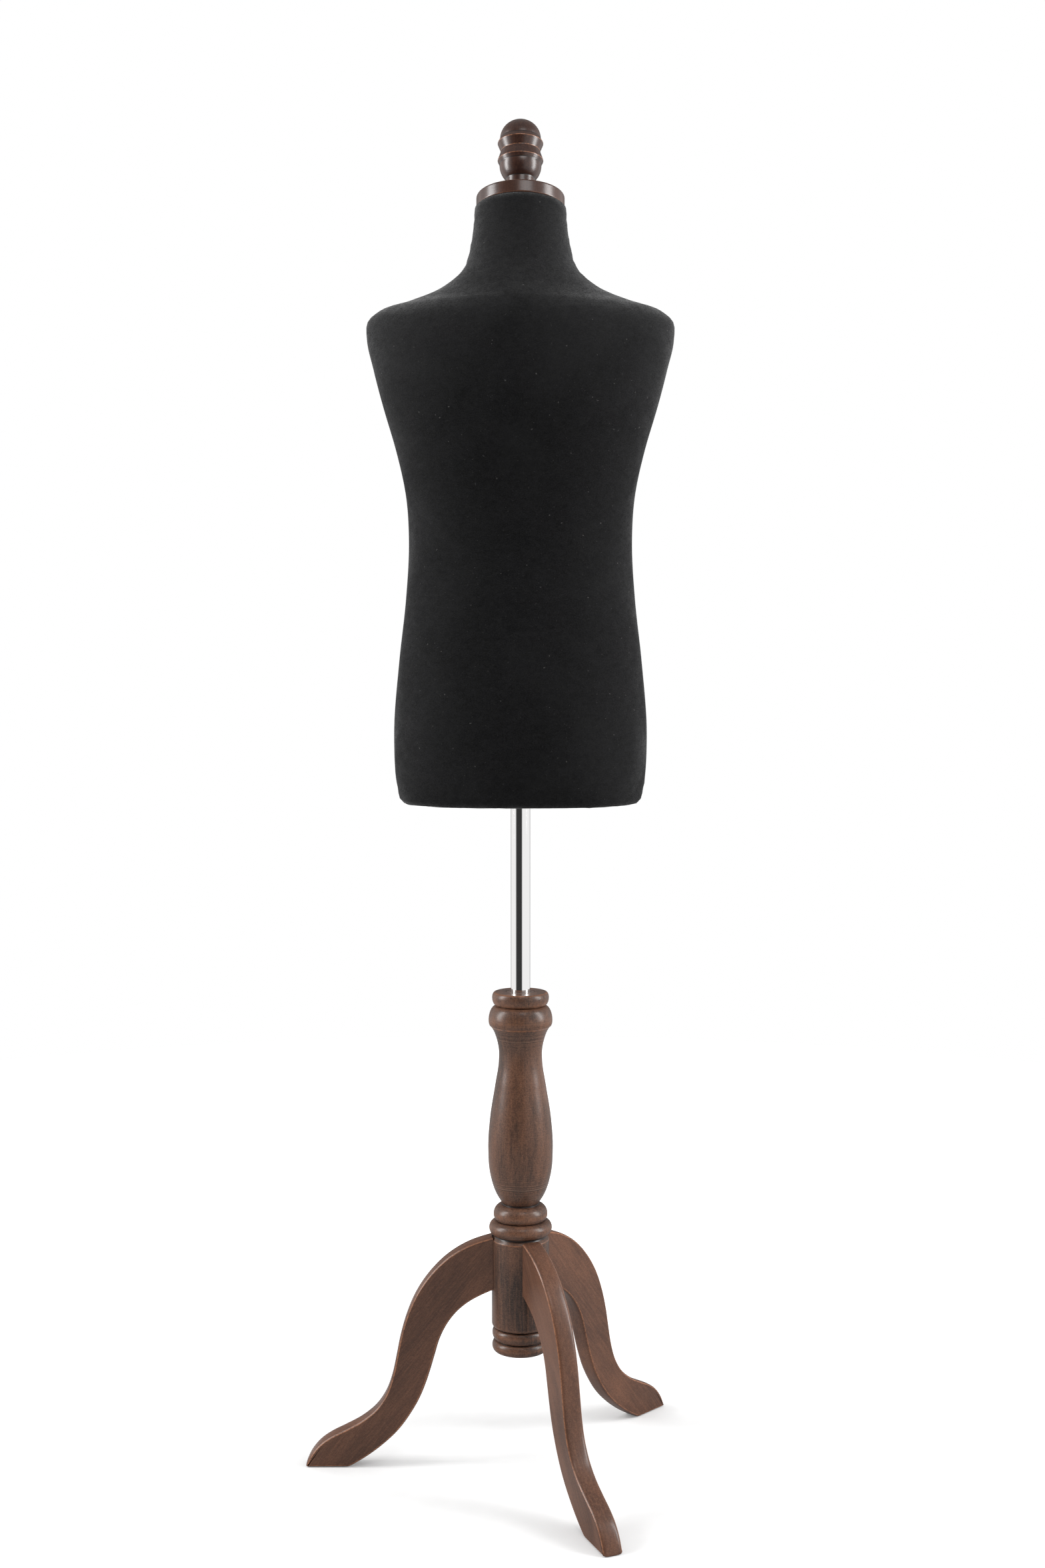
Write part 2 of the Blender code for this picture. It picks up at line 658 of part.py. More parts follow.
def build_finial(frame):
    axis = add_empty("finial_axis", location=(0, 0, CAP_T), parent=frame)
    finial = turned("finial", finial_profile(), 20, STAINED_WOOD, closed=False, parent=axis)
    cut(finial, cutter("finial_hole", STUD_HOLE_R, -0.002, STUD_IN_FINIAL + GAP, parent=axis))
    solid_rod("finial_stud", STUD_R, -CAP_T - STUD_BELOW, STUD_IN_FINIAL, 12, ZINC_STEEL, parent=axis)


def build_dress_form():
    build_column()
    build_top_bush()
    build_legs()
    build_clamp()
    build_pole()
    build_torso()
    build_base_board()
    build_pole_socket()
    neck_frame = add_empty("neck_frame", location=NECK_CENTRE, rotation=(-NECK_LEAN, 0, 0))
    build_neck(neck_frame)
    build_finial(neck_frame)


def centre_on_footprint():
    """Parent everything to one stand and centre the whole box over the origin."""
    solids = list(PARTS.objects)
    stand = add_empty("stand")
    for item in solids + list(CUTTERS.objects):
        if item.parent is None:
            item.parent = stand
    bpy.context.view_layer.update()
    depsgraph = bpy.context.evaluated_depsgraph_get()
    low = Vector((math.inf, math.inf))
    high = Vector((-math.inf, -math.inf))
    for item in solids:
        if item.type != 'MESH':
            continue
        for vert in item.evaluated_get(depsgraph).data.vertices:
            place = item.matrix_world @ vert.co
            for axis in range(2):
                low[axis] = min(low[axis], place[axis])
                high[axis] = max(high[axis], place[axis])
    centre = (low + high) / 2
    stand.location = (-centre.x, -centre.y, 0)


build_dress_form()
centre_on_footprint()
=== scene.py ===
"""Looks of the dress form: turned and sawn stained wood, chrome pole, fabric cover, studio and camera.

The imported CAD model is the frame. Pieces that show are rebuilt finer on the CAD's places, the cover is
a cloth simulation over the hard form, and every other CAD piece gets a procedural material.
The body of the form faces +Y and the camera looks along +Y, so it sees the form's back.
"""

import json
import math

import bmesh
import bpy
import numpy as np
from mathutils import Matrix, Vector


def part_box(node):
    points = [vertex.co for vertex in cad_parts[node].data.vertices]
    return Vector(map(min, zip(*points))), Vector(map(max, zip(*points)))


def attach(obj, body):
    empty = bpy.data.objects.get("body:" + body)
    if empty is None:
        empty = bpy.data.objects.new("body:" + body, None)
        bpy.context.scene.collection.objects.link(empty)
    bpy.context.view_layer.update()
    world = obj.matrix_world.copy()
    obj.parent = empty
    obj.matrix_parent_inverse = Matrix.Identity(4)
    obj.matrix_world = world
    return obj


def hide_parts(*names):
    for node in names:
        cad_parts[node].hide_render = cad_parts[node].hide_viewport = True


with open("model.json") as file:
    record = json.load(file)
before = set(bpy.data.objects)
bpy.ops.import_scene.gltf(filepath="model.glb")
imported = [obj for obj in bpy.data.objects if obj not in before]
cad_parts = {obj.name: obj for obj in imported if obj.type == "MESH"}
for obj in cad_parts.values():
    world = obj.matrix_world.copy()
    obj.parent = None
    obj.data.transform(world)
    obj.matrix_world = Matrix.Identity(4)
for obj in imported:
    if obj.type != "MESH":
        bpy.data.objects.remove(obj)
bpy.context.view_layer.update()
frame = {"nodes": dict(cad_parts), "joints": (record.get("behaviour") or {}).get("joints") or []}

MM = 0.001


# ---------------------------------------------------------------- places, read from the frame

def box_centre(node):
    low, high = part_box(node)
    return (low + high) / 2


def joint(name):
    return next(item for item in frame["joints"] if item["name"] == name)


POLE_AXIS = box_centre("pole_tube") * Vector((1, 1, 0))
COLUMN_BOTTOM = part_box("column")[0].z
COLUMN_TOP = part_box("column")[1].z
CLAMP_PLACE = Vector(joint("clamp_knob_turn")["pos_m"])
CLAMP_TO_LOCAL_Z = Matrix.Rotation(-math.pi / 2, 4, 'X')
NECK_DIRECTION = Vector(joint("finial_spin")["axis"])
NECK_TILT = Matrix.Rotation(-math.atan2(NECK_DIRECTION.y, NECK_DIRECTION.z), 4, 'X')
CAP_THICKNESS = 14.5 * MM
CAP_MIDDLE = box_centre("neck_cap")


# ---------------------------------------------------------------- paths

def evenly_spaced(points, step):
    """The same open path with a point about every step metres."""
    points = np.array(points, float)
    spans = np.linalg.norm(np.diff(points, axis=0), axis=1)
    along = np.concatenate([[0.0], np.cumsum(spans)])
    count = max(2, round(along[-1] / step) + 1)
    places = np.linspace(0.0, along[-1], count)
    return np.column_stack([np.interp(places, along, points[:, k]) for k in range(points.shape[1])])


def softened(path, passes):
    """Rounds the corners of an evenly spaced open path, whose ends stay."""
    path = np.array(path, float)
    for _ in range(passes):
        path[1:-1] = (path[:-2] + 2 * path[1:-1] + path[2:]) / 4
    return path


def curve_through(rows, step, chord=slice(None)):
    """Smooth rows between the given rows, every step along the length measured on the chord columns."""
    rows = np.array(rows, float)
    spans = np.linalg.norm(np.diff(rows[:, chord], axis=0), axis=1)
    along = np.concatenate([[0.0], np.cumsum(spans)])
    slopes = np.diff(rows, axis=0) / spans[:, None]
    tangents = np.empty_like(rows)
    weight = (spans[:-1] / (spans[:-1] + spans[1:]))[:, None]
    tangents[1:-1] = slopes[:-1] * (1 - weight) + slopes[1:] * weight
    tangents[0] = 1.5 * slopes[0] - 0.5 * tangents[1]
    tangents[-1] = 1.5 * slopes[-1] - 0.5 * tangents[-2]
    places = np.linspace(0.0, along[-1], max(2, round(along[-1] / step) + 1))
    index = np.clip(np.searchsorted(along, places, side="right") - 1, 0, len(spans) - 1)
    width = spans[index][:, None]
    t = (places - along[index])[:, None] / width
    return ((2 * t**3 - 3 * t**2 + 1) * rows[index] + (t**3 - 2 * t**2 + t) * width * tangents[index]
            + (3 * t**2 - 2 * t**3) * rows[index + 1] + (t**3 - t**2) * width * tangents[index + 1])


def bead(top, peak, bottom, points=8):
    """A rounded bead from top over peak to bottom, each (radius, height): two quarter ellipses."""
    path = []
    for step in range(2 * points + 1):
        angle = math.pi / 2 * (1 - step / points)
        edge = top if step < points else bottom
        path.append((edge[0] + (peak[0] - edge[0]) * math.cos(angle),
                     peak[1] + (edge[1] - peak[1]) * abs(math.sin(angle))))
    return path


def arc(centre, radius, start, end, points=10):
    """Points (radius, height) on an arc, angles in degrees from the outward direction."""
    angles = np.radians(np.linspace(start, end, points + 1))
    return [(centre[0] + radius * math.cos(a), centre[1] + radius * math.sin(a)) for a in angles]


# ---------------------------------------------------------------- meshes and pieces

WELD = 0.001 * MM
WORN_RADIUS = 2.0 * MM
GROOVE_RADIUS = 4.0 * MM


def new_piece(name, verts, faces, marks=None, sharp=35, weld=0.0):
    """A mesh object with smooth faces, creased from sharp degrees; marks are named values on its points."""
    mesh = bpy.data.meshes.new(name)
    mesh.from_pydata([tuple(v) for v in verts], [], faces)
    for key, values in (marks or {}).items():
        mesh.attributes.new(key, 'FLOAT', 'POINT').data.foreach_set("value", np.asarray(values, np.float32))
    shape = bmesh.new()
    shape.from_mesh(mesh)
    if weld:
        bmesh.ops.remove_doubles(shape, verts=shape.verts, dist=weld)
    bmesh.ops.recalc_face_normals(shape, faces=shape.faces)
    shape.to_mesh(mesh)
    shape.free()
    mesh.shade_smooth()
    mesh.set_sharp_from_angle(angle=math.radians(sharp))
    piece = bpy.data.objects.new(name, mesh)
    bpy.context.scene.collection.objects.link(piece)
    return piece


def edge_marks(path, worn_radius, groove_radius):
    """How worn and how deep each point of a profile is, from how tightly the path bends there.

    A corner rounded to worn_radius is 0.65 worn, and a hollow rounded to groove_radius is 0.8 deep.
    """
    before = path[1:-1] - path[:-2]
    after = path[2:] - path[1:-1]
    length = (np.linalg.norm(before, axis=1) + np.linalg.norm(after, axis=1)) / 2
    turn = before[:, 1] * after[:, 0] - before[:, 0] * after[:, 1]
    bend = np.zeros(len(path))
    bend[1:-1] = turn / np.maximum(length, 1e-9)**3
    return np.clip(bend * worn_radius - 0.35, 0, 1), np.clip(-bend * groove_radius - 0.2, 0, 1)


def nearness(heights, places):
    """The amount at each of the places, (height, reach, amount), falling to 0 over its reach."""
    near = np.zeros(len(heights))
    for height, reach, amount in places:
        near = np.maximum(near, amount * np.exp(-((heights - height) / reach)**2))
    return near


def ring_faces(rows, count, rings):
    """Four-sided faces from each of the first rows of rings to the next, each ring of count points."""
    faces = []
    for row in range(rows):
        here = row * count
        below = (row + 1) % rings * count
        for k in range(count):
            after = (k + 1) % count
            faces.append((here + k, below + k, below + after, here + after))
    return faces


def turned(name, outside, inside=(), steps=96, step=0.6 * MM, soften=2, worn_radius=WORN_RADIUS,
           worn_heights=(), lathe_heights=()):
    """A turned piece about local Z: a fine outer profile, and the plain profile of its bore."""
    outer = softened(evenly_spaced(outside, step), soften)
    wear, groove = edge_marks(outer, worn_radius, GROOVE_RADIUS)
    wear = np.maximum(wear, nearness(outer[:, 1], worn_heights))
    path = np.vstack([outer, np.array(inside, float).reshape(-1, 2)])
    pad = np.zeros(len(path) - len(outer))
    marks = {"wear": wear, "groove": groove, "turned": nearness(outer[:, 1], lathe_heights)}
    marks = {key: np.repeat(np.concatenate([values, pad]), steps) for key, values in marks.items()}
    angles = np.arange(steps) * math.tau / steps
    ring = np.column_stack([np.cos(angles), np.sin(angles)])
    verts = [np.column_stack([ring * radius, np.full(steps, height)]) for radius, height in path]
    rows = len(path) if len(inside) else len(path) - 1
    return new_piece(name, np.concatenate(verts), ring_faces(rows, steps, len(path)), marks, weld=WELD)


def place(piece, location, turn=None):
    piece.matrix_world = Matrix.Translation(location) @ (turn or Matrix.Identity(4))
    return piece


def bored(piece, radius, length, location, turn):
    """Cuts a round hole about local Z of the given place, and keeps the result as the piece's mesh."""
    shape = bmesh.new()
    bmesh.ops.create_cone(shape, cap_ends=True, segments=48, radius1=radius, radius2=radius, depth=length)
    mesh = bpy.data.meshes.new("drill")
    shape.to_mesh(mesh)
    shape.free()
    drill = bpy.data.objects.new("drill", mesh)
    bpy.context.scene.collection.objects.link(drill)
    place(drill, location, turn)
    hole = piece.modifiers.new("hole", 'BOOLEAN')
    hole.operation = 'DIFFERENCE'
    hole.object = drill
    bpy.context.view_layer.update()
    finished = bpy.data.meshes.new_from_object(piece.evaluated_get(bpy.context.evaluated_depsgraph_get()))
    piece.modifiers.clear()
    piece.data = finished
    bpy.data.objects.remove(drill, do_unlink=True)


def fit(piece, body, slot, material, *nodes):
    """Gives a piece its body, its finish and the CAD nodes it stands for."""
    piece.data.materials.clear()
    piece.data.materials.append(material)
    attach(piece, body)
    if nodes:
        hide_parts(*nodes)
    return piece


# ---------------------------------------------------------------- materials

class Shader:
    """A node material written in few words: node() adds a node and links or sets its inputs."""

    def __init__(self, name):
        self.material = bpy.data.materials.new(name)
        self.material.use_nodes = True
        self.tree = self.material.node_tree
        self.surface = self.tree.nodes["Principled BSDF"]

    def node(self, kind, inputs=None, **settings):
        made = self.tree.nodes.new("ShaderNode" + kind)
        for key, value in settings.items():
            setattr(made, key, value)
        for key, value in (inputs or {}).items():
            self.put(made.inputs[key], value)
        return made

    def put(self, socket, value):
        if isinstance(value, bpy.types.NodeSocket):
            self.tree.links.new(value, socket)
        else:
            socket.default_value = value

    def set(self, **inputs):
        for key, value in inputs.items():
            self.put(self.surface.inputs[key.replace("_", " ")], value)

    def stretched(self, vector, x, y, z):
        return self.node("Mapping", {"Vector": vector, "Scale": (x, y, z)}).outputs["Vector"]

    def noise(self, vector, scale, detail, rough, warp=0.0):
        made = self.node("TexNoise", {"Vector": vector, "Scale": scale, "Detail": detail,
                                      "Roughness": rough, "Distortion": warp})
        return made.outputs["Fac"]

    def ramp(self, value, low, high, out_low=0.0, out_high=1.0):
        made = self.node("MapRange", {"Value": value, "From Min": low, "From Max": high,
                                      "To Min": out_low, "To Max": out_high}, clamp=True)
        return made.outputs["Result"]

    def math(self, operation, a, b=0.0):
        return self.node("Math", {0: a, 1: b}, operation=operation).outputs["Value"]

    def mix(self, share, a, b):
        made = self.node("Mix", data_type='RGBA')
        self.put(made.inputs[0], share)
        self.put(made.inputs[6], a)
        self.put(made.inputs[7], b)
        return made.outputs[2]

    def mark(self, name):
        return self.node("Attribute", attribute_name=name).outputs["Fac"]

    def bump(self, height, distance, strength=1.0):
        made = self.node("Bump", {"Height": height, "Distance": distance, "Strength": strength})
        self.put(self.surface.inputs["Normal"], made.outputs["Normal"])


def shifted_local(shader):
    """Local coordinates, moved by a fixed amount for each object so that no two pieces look alike."""
    local = shader.node("TexCoord").outputs["Object"]
    random = shader.node("ObjectInfo").outputs["Random"]
    shift = shader.node("VectorMath", {0: (3.1, 1.7, 2.3)}, operation='SCALE')
    shader.put(shift.inputs["Scale"], random)
    return shader.node("VectorMath", {0: local, 1: shift.outputs[0]}, operation='ADD').outputs[0]


# Colours of the stained beech, linear: the stain where it lies thick, then thinner, down to rubbed wood
# The groove colour is stain pooled in the hollows together with painted shade there
STAIN_AND_SHADE_IN_GROOVES = (0.014, 0.009, 0.008, 1)
STAIN_IN_PORES = (0.020, 0.012, 0.010, 1)
STAIN_IN_FLECKS = (0.024, 0.015, 0.012, 1)
STAIN_IN_LINES = (0.026, 0.018, 0.015, 1)
STAIN_THICK = (0.027, 0.0170, 0.0140, 1)
STAIN_THIN = (0.106, 0.0500, 0.0305, 1)
STREAK = (0.175, 0.080, 0.045, 1)
PALE_GRAIN = (0.185, 0.098, 0.062, 1)
PALE_LINE = (0.200, 0.122, 0.085, 1)
RED_POLISH = (0.030, 0.0075, 0.0040, 1)
WARM_STAIN = (0.160, 0.062, 0.032, 1)
RUBBED_WOOD = (0.360, 0.150, 0.072, 1)


def stained_wood(name, grain_angle, pith, gloss=0.0, warmth=0.0):
    """Dark stained beech: growth rings round the pith, cloudy stain, flecks, worn edges, and grooves
    darkened by pooled stain and painted shade.

    The grain runs along local Z, turned by grain_angle about local Y, and the pith is a line beside it.
    """
    s = Shader(name)
    local = s.node("TexCoord").outputs["Object"]
    shifted = shifted_local(s)

    def along_grain(vector):
        return s.node("VectorRotate", {"Vector": vector, "Axis": (0, 1, 0), "Angle": grain_angle},
                      rotation_type='AXIS_ANGLE').outputs["Vector"]

    grain = along_grain(shifted)

    cloud = s.noise(s.stretched(grain, 1, 1, 0.45), 19, 3, 0.5, 0.4)
    smudge = s.noise(s.stretched(grain, 1, 1, 0.20), 55, 4, 0.55, 0.3)
    streak = s.noise(s.stretched(grain, 1, 1, 0.05), 420, 4, 0.65, 0.2)
    fleck = s.noise(s.stretched(shifted, 0.6, 0.6, 1), 980, 2, 0.6, 1.2)
    pore = s.noise(s.stretched(grain, 1, 1, 0.14), 1700, 2, 0.5)

    centred = s.node("Mapping", {"Vector": along_grain(local), "Location": (-pith[0], -pith[1], 0),
                                 "Scale": (1, 1, 0.03)})
    from_pith = s.node("VectorMath", {0: centred.outputs[0]}, operation='LENGTH').outputs["Value"]
    wander = s.math('MULTIPLY', s.noise(s.stretched(grain, 1, 1, 0.4), 16, 3, 0.5), 8 * MM)
    ring = s.noise(s.node("CombineXYZ", {"X": s.math('ADD', from_pith, wander)}).outputs[0], 520, 3, 0.75)

    colour = s.mix(s.ramp(cloud, 0.39, 0.62), STAIN_THICK, STAIN_THIN)
    colour = s.mix(s.ramp(smudge, 0.46, 0.66, 0.0, 0.72), colour, STAIN_THICK)
    colour = s.mix(s.ramp(streak, 0.44, 0.66, 0.0, 0.42), colour, STREAK)
    colour = s.mix(s.ramp(ring, 0.56, 0.70, 0.0, 0.38), colour, PALE_GRAIN)
    colour = s.mix(s.ramp(fleck, 0.50, 0.64, 0.0, 0.28), colour, PALE_GRAIN)
    colour = s.mix(s.ramp(fleck, 0.36, 0.48, 0.52, 0.0), colour, STAIN_IN_FLECKS)
    colour = s.mix(s.ramp(pore, 0.54, 0.68, 0.0, 0.55), colour, STAIN_IN_PORES)

    waver = s.math('MULTIPLY', s.noise(local, 22, 2, 0.5), 3.5 * MM)
    level = s.math('ADD', s.node("SeparateXYZ", {0: local}).outputs["Z"], waver)
    lathe = s.noise(s.node("CombineXYZ", {"Z": level}).outputs["Vector"], 820, 3, 0.7)
    turned_here = s.mark("turned")
    lines = s.math('MULTIPLY', s.ramp(lathe, 0.52, 0.59, 0.0, 0.75), turned_here)
    pale = s.math('MULTIPLY', s.ramp(lathe, 0.40, 0.47, 0.60, 0.0), turned_here)
    colour = s.mix(lines, colour, STAIN_IN_LINES)
    colour = s.mix(pale, colour, PALE_LINE)
    colour = s.mix(0.60 * gloss, colour, RED_POLISH)
    colour = s.mix(warmth, colour, WARM_STAIN)

    scuff = s.noise(local, 300, 4, 0.75)
    worn = s.math('MULTIPLY', s.mark("wear"), s.ramp(scuff, 0.34, 0.56))
    # Painted shade, with pooled stain: the hollows of the profile are darkened by how deep they are
    colour = s.mix(s.math('MULTIPLY', s.mark("groove"), 0.92), colour, STAIN_AND_SHADE_IN_GROOVES)
    colour = s.mix(s.math('MULTIPLY', worn, 0.80), colour, RUBBED_WOOD)

    grip = s.math('ADD', s.math('MULTIPLY', fleck, 0.4), s.math('MULTIPLY', pore, -0.6))
    s.bump(s.math('ADD', grip, s.math('MULTIPLY', lines, -0.6)), 0.12 * MM, 0.6 - 0.3 * gloss)
    s.set(Base_Color=colour, Specular_IOR_Level=0.20 + 0.1 * gloss,
          Roughness=s.ramp(cloud, 0.3, 0.7, 0.44 - 0.10 * gloss, 0.36 - 0.08 * gloss))
    s.set(Coat_Weight=0.26 + 0.22 * gloss, Coat_Roughness=0.24)
    return s.material


NAP_DARK = (0.0022, 0.0022, 0.0024, 1)
NAP_LIGHT = (0.0072, 0.0072, 0.0077, 1)
# The brushed colour also carries painted top light on the shoulders and neck
NAP_BRUSHED_AND_TOP_LIT = (0.0095, 0.0095, 0.0101, 1)
LINT = (0.30, 0.29, 0.28, 1)
# Cells per metre, share of the cells without lint, and how much a speck of it shows
LINT_SIZES = ((360.0, 0.90, 0.06), (210.0, 0.965, 0.15))


def black_fabric():
    """Black velour jersey: short nap with a soft sheen, mottled by how the pile lies, a little lint, and
    painted top light that makes it lighter and shinier towards the shoulders and neck.
    """
    s = Shader("black_fabric")
    local = s.node("TexCoord").outputs["Object"]
    pile = s.noise(s.stretched(local, 1, 1, 1.3), 620, 3, 0.7)
    lay = s.noise(s.stretched(local, 1, 1, 1.5), 110, 6, 0.75, 0.5)
    height = s.node("SeparateXYZ", {0: local}).outputs["Z"]
    # Random brushed patches, plus painted top light: lighter and shinier from the chest up to the neck
    brushed_and_top_lit = s.math('ADD', s.noise(local, 9, 5, 0.6, 0.8), s.ramp(height, 1.20, 1.37, -0.08, 0.26))
    tone = s.math('ADD', s.math('MULTIPLY', pile, 0.6), s.math('MULTIPLY', lay, 0.4))
    colour = s.mix(s.ramp(tone, 0.40, 0.60), NAP_DARK, NAP_LIGHT)
    colour = s.mix(s.ramp(brushed_and_top_lit, 0.35, 0.70, 0.0, 0.5), colour, NAP_BRUSHED_AND_TOP_LIT)

    bend = s.node("TexNoise", {"Vector": local, "Scale": 260.0}).outputs["Color"]
    bent = s.node("VectorMath", {0: bend, 1: (4 * MM, 4 * MM, 4 * MM), 2: local}, operation='MULTIPLY_ADD')
    lint = 0.0
    for scale, clean, strength in LINT_SIZES:
        cell = s.node("TexVoronoi", {"Vector": bent.outputs[0], "Scale": scale, "Randomness": 1.0})
        picked = s.node("SeparateXYZ", {0: cell.outputs["Color"]}).outputs["X"]
        chosen = s.ramp(picked, clean, clean + 0.01, 0.0, strength)
        speck = s.ramp(cell.outputs["Distance"], 0.10, 0.22, 1.0, 0.0)
        lint = s.math('ADD', lint, s.math('MULTIPLY', chosen, speck))
    colour = s.mix(lint, colour, LINT)

    s.bump(tone, 0.30 * MM, 0.6)
    raised = s.ramp(tone, 0.40, 0.62, 0.40, 1.75)
    sheen = s.math('MULTIPLY', s.ramp(brushed_and_top_lit, 0.3, 0.8, 0.045, 0.24), raised)
    s.set(Base_Color=colour, Roughness=0.86, Specular_IOR_Level=0.12)
    s.set(Sheen_Weight=sheen, Sheen_Roughness=0.40, Sheen_Tint=(1, 1, 1, 1))
    return s.material


def chrome():
    """Polished chrome tube with hair-fine wiping marks round it."""
    s = Shader("chrome")
    local = s.node("TexCoord").outputs["Object"]
    haze = s.noise(local, 60, 4, 0.6)
    scratch = s.noise(s.stretched(local, 40, 40, 900), 1, 3, 0.7)
    s.bump(scratch, 0.004 * MM, 0.25)
    s.set(Base_Color=(0.90, 0.89, 0.885, 1), Metallic=1.0, Roughness=s.ramp(haze, 0.3, 0.7, 0.035, 0.075))
    return s.material


def metal(name, colour, low, high, scale=420):
    """Plated or turned metal with fine tool marks and slight tarnish."""
    s = Shader(name)
    local = s.node("TexCoord").outputs["Object"]
    marks = s.noise(s.stretched(local, 0.3, 0.3, 2.5), scale, 3, 0.6)
    tarnish = s.noise(local, 90, 4, 0.6)
    dull = tuple(0.62 * value for value in colour)
    s.bump(marks, 0.03 * MM, 0.5)
    s.set(Base_Color=s.mix(s.ramp(tarnish, 0.45, 0.75, 0.0, 0.7), (*colour, 1), (*dull, 1)),
          Metallic=1.0, Roughness=s.ramp(marks, 0.3, 0.7, low, high))
    return s.material


def moulded(name, colour, roughness, grain=700):
    """Moulded plastic with a fine spark-eroded grain."""
    s = Shader(name)
    local = s.node("TexCoord").outputs["Object"]
    grit = s.noise(local, grain, 3, 0.6)
    patch = s.noise(local, 40, 3, 0.5)
    lighter = tuple(min(1.0, 1.25 * value + 0.004) for value in colour)
    s.bump(grit, 0.05 * MM, 0.5)
    s.set(Base_Color=s.mix(s.ramp(patch, 0.35, 0.65), (*colour, 1), (*lighter, 1)),
          Roughness=s.ramp(grit, 0.3, 0.7, roughness - 0.06, roughness + 0.08))
    return s.material


def plain_wood(name, dark, light, plies=0.0):
    """Unfinished beech, or birch plywood where plies gives the thickness of one ply."""
    s = Shader(name)
    local = s.node("TexCoord").outputs["Object"]
    grain = s.noise(s.stretched(local, 1, 0.08, 1), 320, 5, 0.6, 0.4)
    cloud = s.noise(s.stretched(local, 1, 0.3, 1), 30, 3, 0.5)
    share = s.math('ADD', s.math('MULTIPLY', grain, 0.65), s.math('MULTIPLY', cloud, 0.35))
    colour = s.mix(s.ramp(share, 0.38, 0.64), (*dark, 1), (*light, 1))
    if plies:
        height = s.node("SeparateXYZ", {0: local}).outputs["Z"]
        layer = s.math('PINGPONG', height, plies)
        colour = s.mix(s.ramp(layer, 0.40 * plies, 0.60 * plies, 0.0, 0.35), colour, (*dark, 1))
    s.bump(grain, 0.10 * MM, 0.6)
    s.set(Base_Color=colour, Roughness=0.72)
    return s.material


def shell_laminate():
    """Hard paper and glass laminate of the form, with fibres showing in it."""
    s = Shader("shell_laminate")
    local = s.node("TexCoord").outputs["Object"]
    fibre = s.noise(s.stretched(local, 1, 1, 0.4), 420, 5, 0.7, 1.2)
    patch = s.noise(local, 18, 3, 0.5)
    colour = s.mix(s.ramp(fibre, 0.35, 0.65), (0.30, 0.24, 0.16, 1), (0.48, 0.41, 0.30, 1))
    colour = s.mix(s.ramp(patch, 0.45, 0.75, 0.0, 0.5), colour, (0.22, 0.17, 0.11, 1))
    s.bump(fibre, 0.15 * MM, 0.6)
    s.set(Base_Color=colour, Roughness=0.60)
    return s.material


def studio_floor():
    """Near-white paper with painted light: it glows for the camera, faintly near the stand and more away
    from it, so that only the contact shadows show.

    Mirrored in the chrome it is greyer, and seen from underneath it is clear.
    """
    s = Shader("studio_floor")
    local = s.node("TexCoord").outputs["Object"]
    paper = s.noise(local, 30, 3, 0.5)
    away = s.node("VectorMath", {0: local}, operation='LENGTH').outputs["Value"]
    ray = s.node("LightPath").outputs
    above = s.math('SUBTRACT', 1.0, s.node("NewGeometry").outputs["Backfacing"])
    colour = s.mix(s.ramp(paper, 0.3, 0.7), (0.62, 0.62, 0.62, 1), (0.64, 0.64, 0.64, 1))
    colour = s.mix(ray["Is Glossy Ray"], colour, (0.36, 0.36, 0.36, 1))
    # Painted light: the floor glows for camera rays, weak near the stand and strong further away
    glow = s.math('MULTIPLY', s.ramp(away, 0.30, 0.90, 0.12, 0.75), ray["Is Camera Ray"])
    s.set(Base_Color=colour, Roughness=1.0, Specular_IOR_Level=0.0, Emission_Color=(1, 1, 1, 1),
          Emission_Strength=glow, Alpha=above)
    return s.material


TURNED_WOOD = stained_wood("stained_wood_turned", 0.0, (0.012, 0.007))
POLISHED_WOOD = stained_wood("stained_wood_polished", 0.0, (0.004, 0.015), gloss=1.0)
SAWN_WOOD = stained_wood("stained_wood_sawn", math.radians(39), (0.195, 0.006), warmth=0.26)
FABRIC = black_fabric()
CHROME = chrome()
ZINC_STEEL = metal("zinc_steel", (0.62, 0.63, 0.64), 0.26, 0.42)
BRASS = metal("brass", (0.76, 0.56, 0.25), 0.24, 0.40)
WHITE_NYLON = moulded("white_nylon", (0.72, 0.71, 0.67), 0.45)
BLACK_PLASTIC = moulded("black_plastic", (0.018, 0.018, 0.018), 0.40)
BROWN_PLASTIC = moulded("brown_plastic", (0.085, 0.052, 0.040), 0.42)
PLYWOOD = plain_wood("plywood", (0.42, 0.29, 0.17), (0.60, 0.45, 0.29), plies=1.5 * MM)
BEECH = plain_wood("beech", (0.46, 0.30, 0.18), (0.62, 0.44, 0.28))
SHELL_LAMINATE = shell_laminate()


# ---------------------------------------------------------------- column, cap and finial

GAP = 0.3 * MM
CYLINDER_R = 33.4 * MM
COLUMN_BORE_R = 12.5 * MM
CHAMBER_R = 22.0 * MM
CHAMBER_TOP = 285.0 * MM
INSERT_HOLE_R = 6.6 * MM
BUSH_BORE_R = 11.4 * MM
BUSH_SLEEVE_R = 14.0 * MM
BUSH_FLANGE_R = 16.5 * MM
BUSH_FLANGE_THICKNESS = 3.0 * MM
# Height, reach and strength of the lines that the lathe left, and of where the stain is rubbed
COLUMN_TURNING_LINES = ((0.5300, 0.0060, 0.8), (0.5090, 0.0125, 1.0), (0.3350, 0.0150, 1.0),
                        (0.3500, 1.0, 0.15))
COLUMN_WORN = ((0.5450, 0.0040, 0.34), (0.5250, 0.0060, 0.24), (0.5180, 0.0012, 0.8),
               (0.2985, 0.0030, 0.25), (0.2830, 0.0030, 0.20), (0.1590, 0.0020, 0.20),
               (0.1440, 0.0020, 0.20))


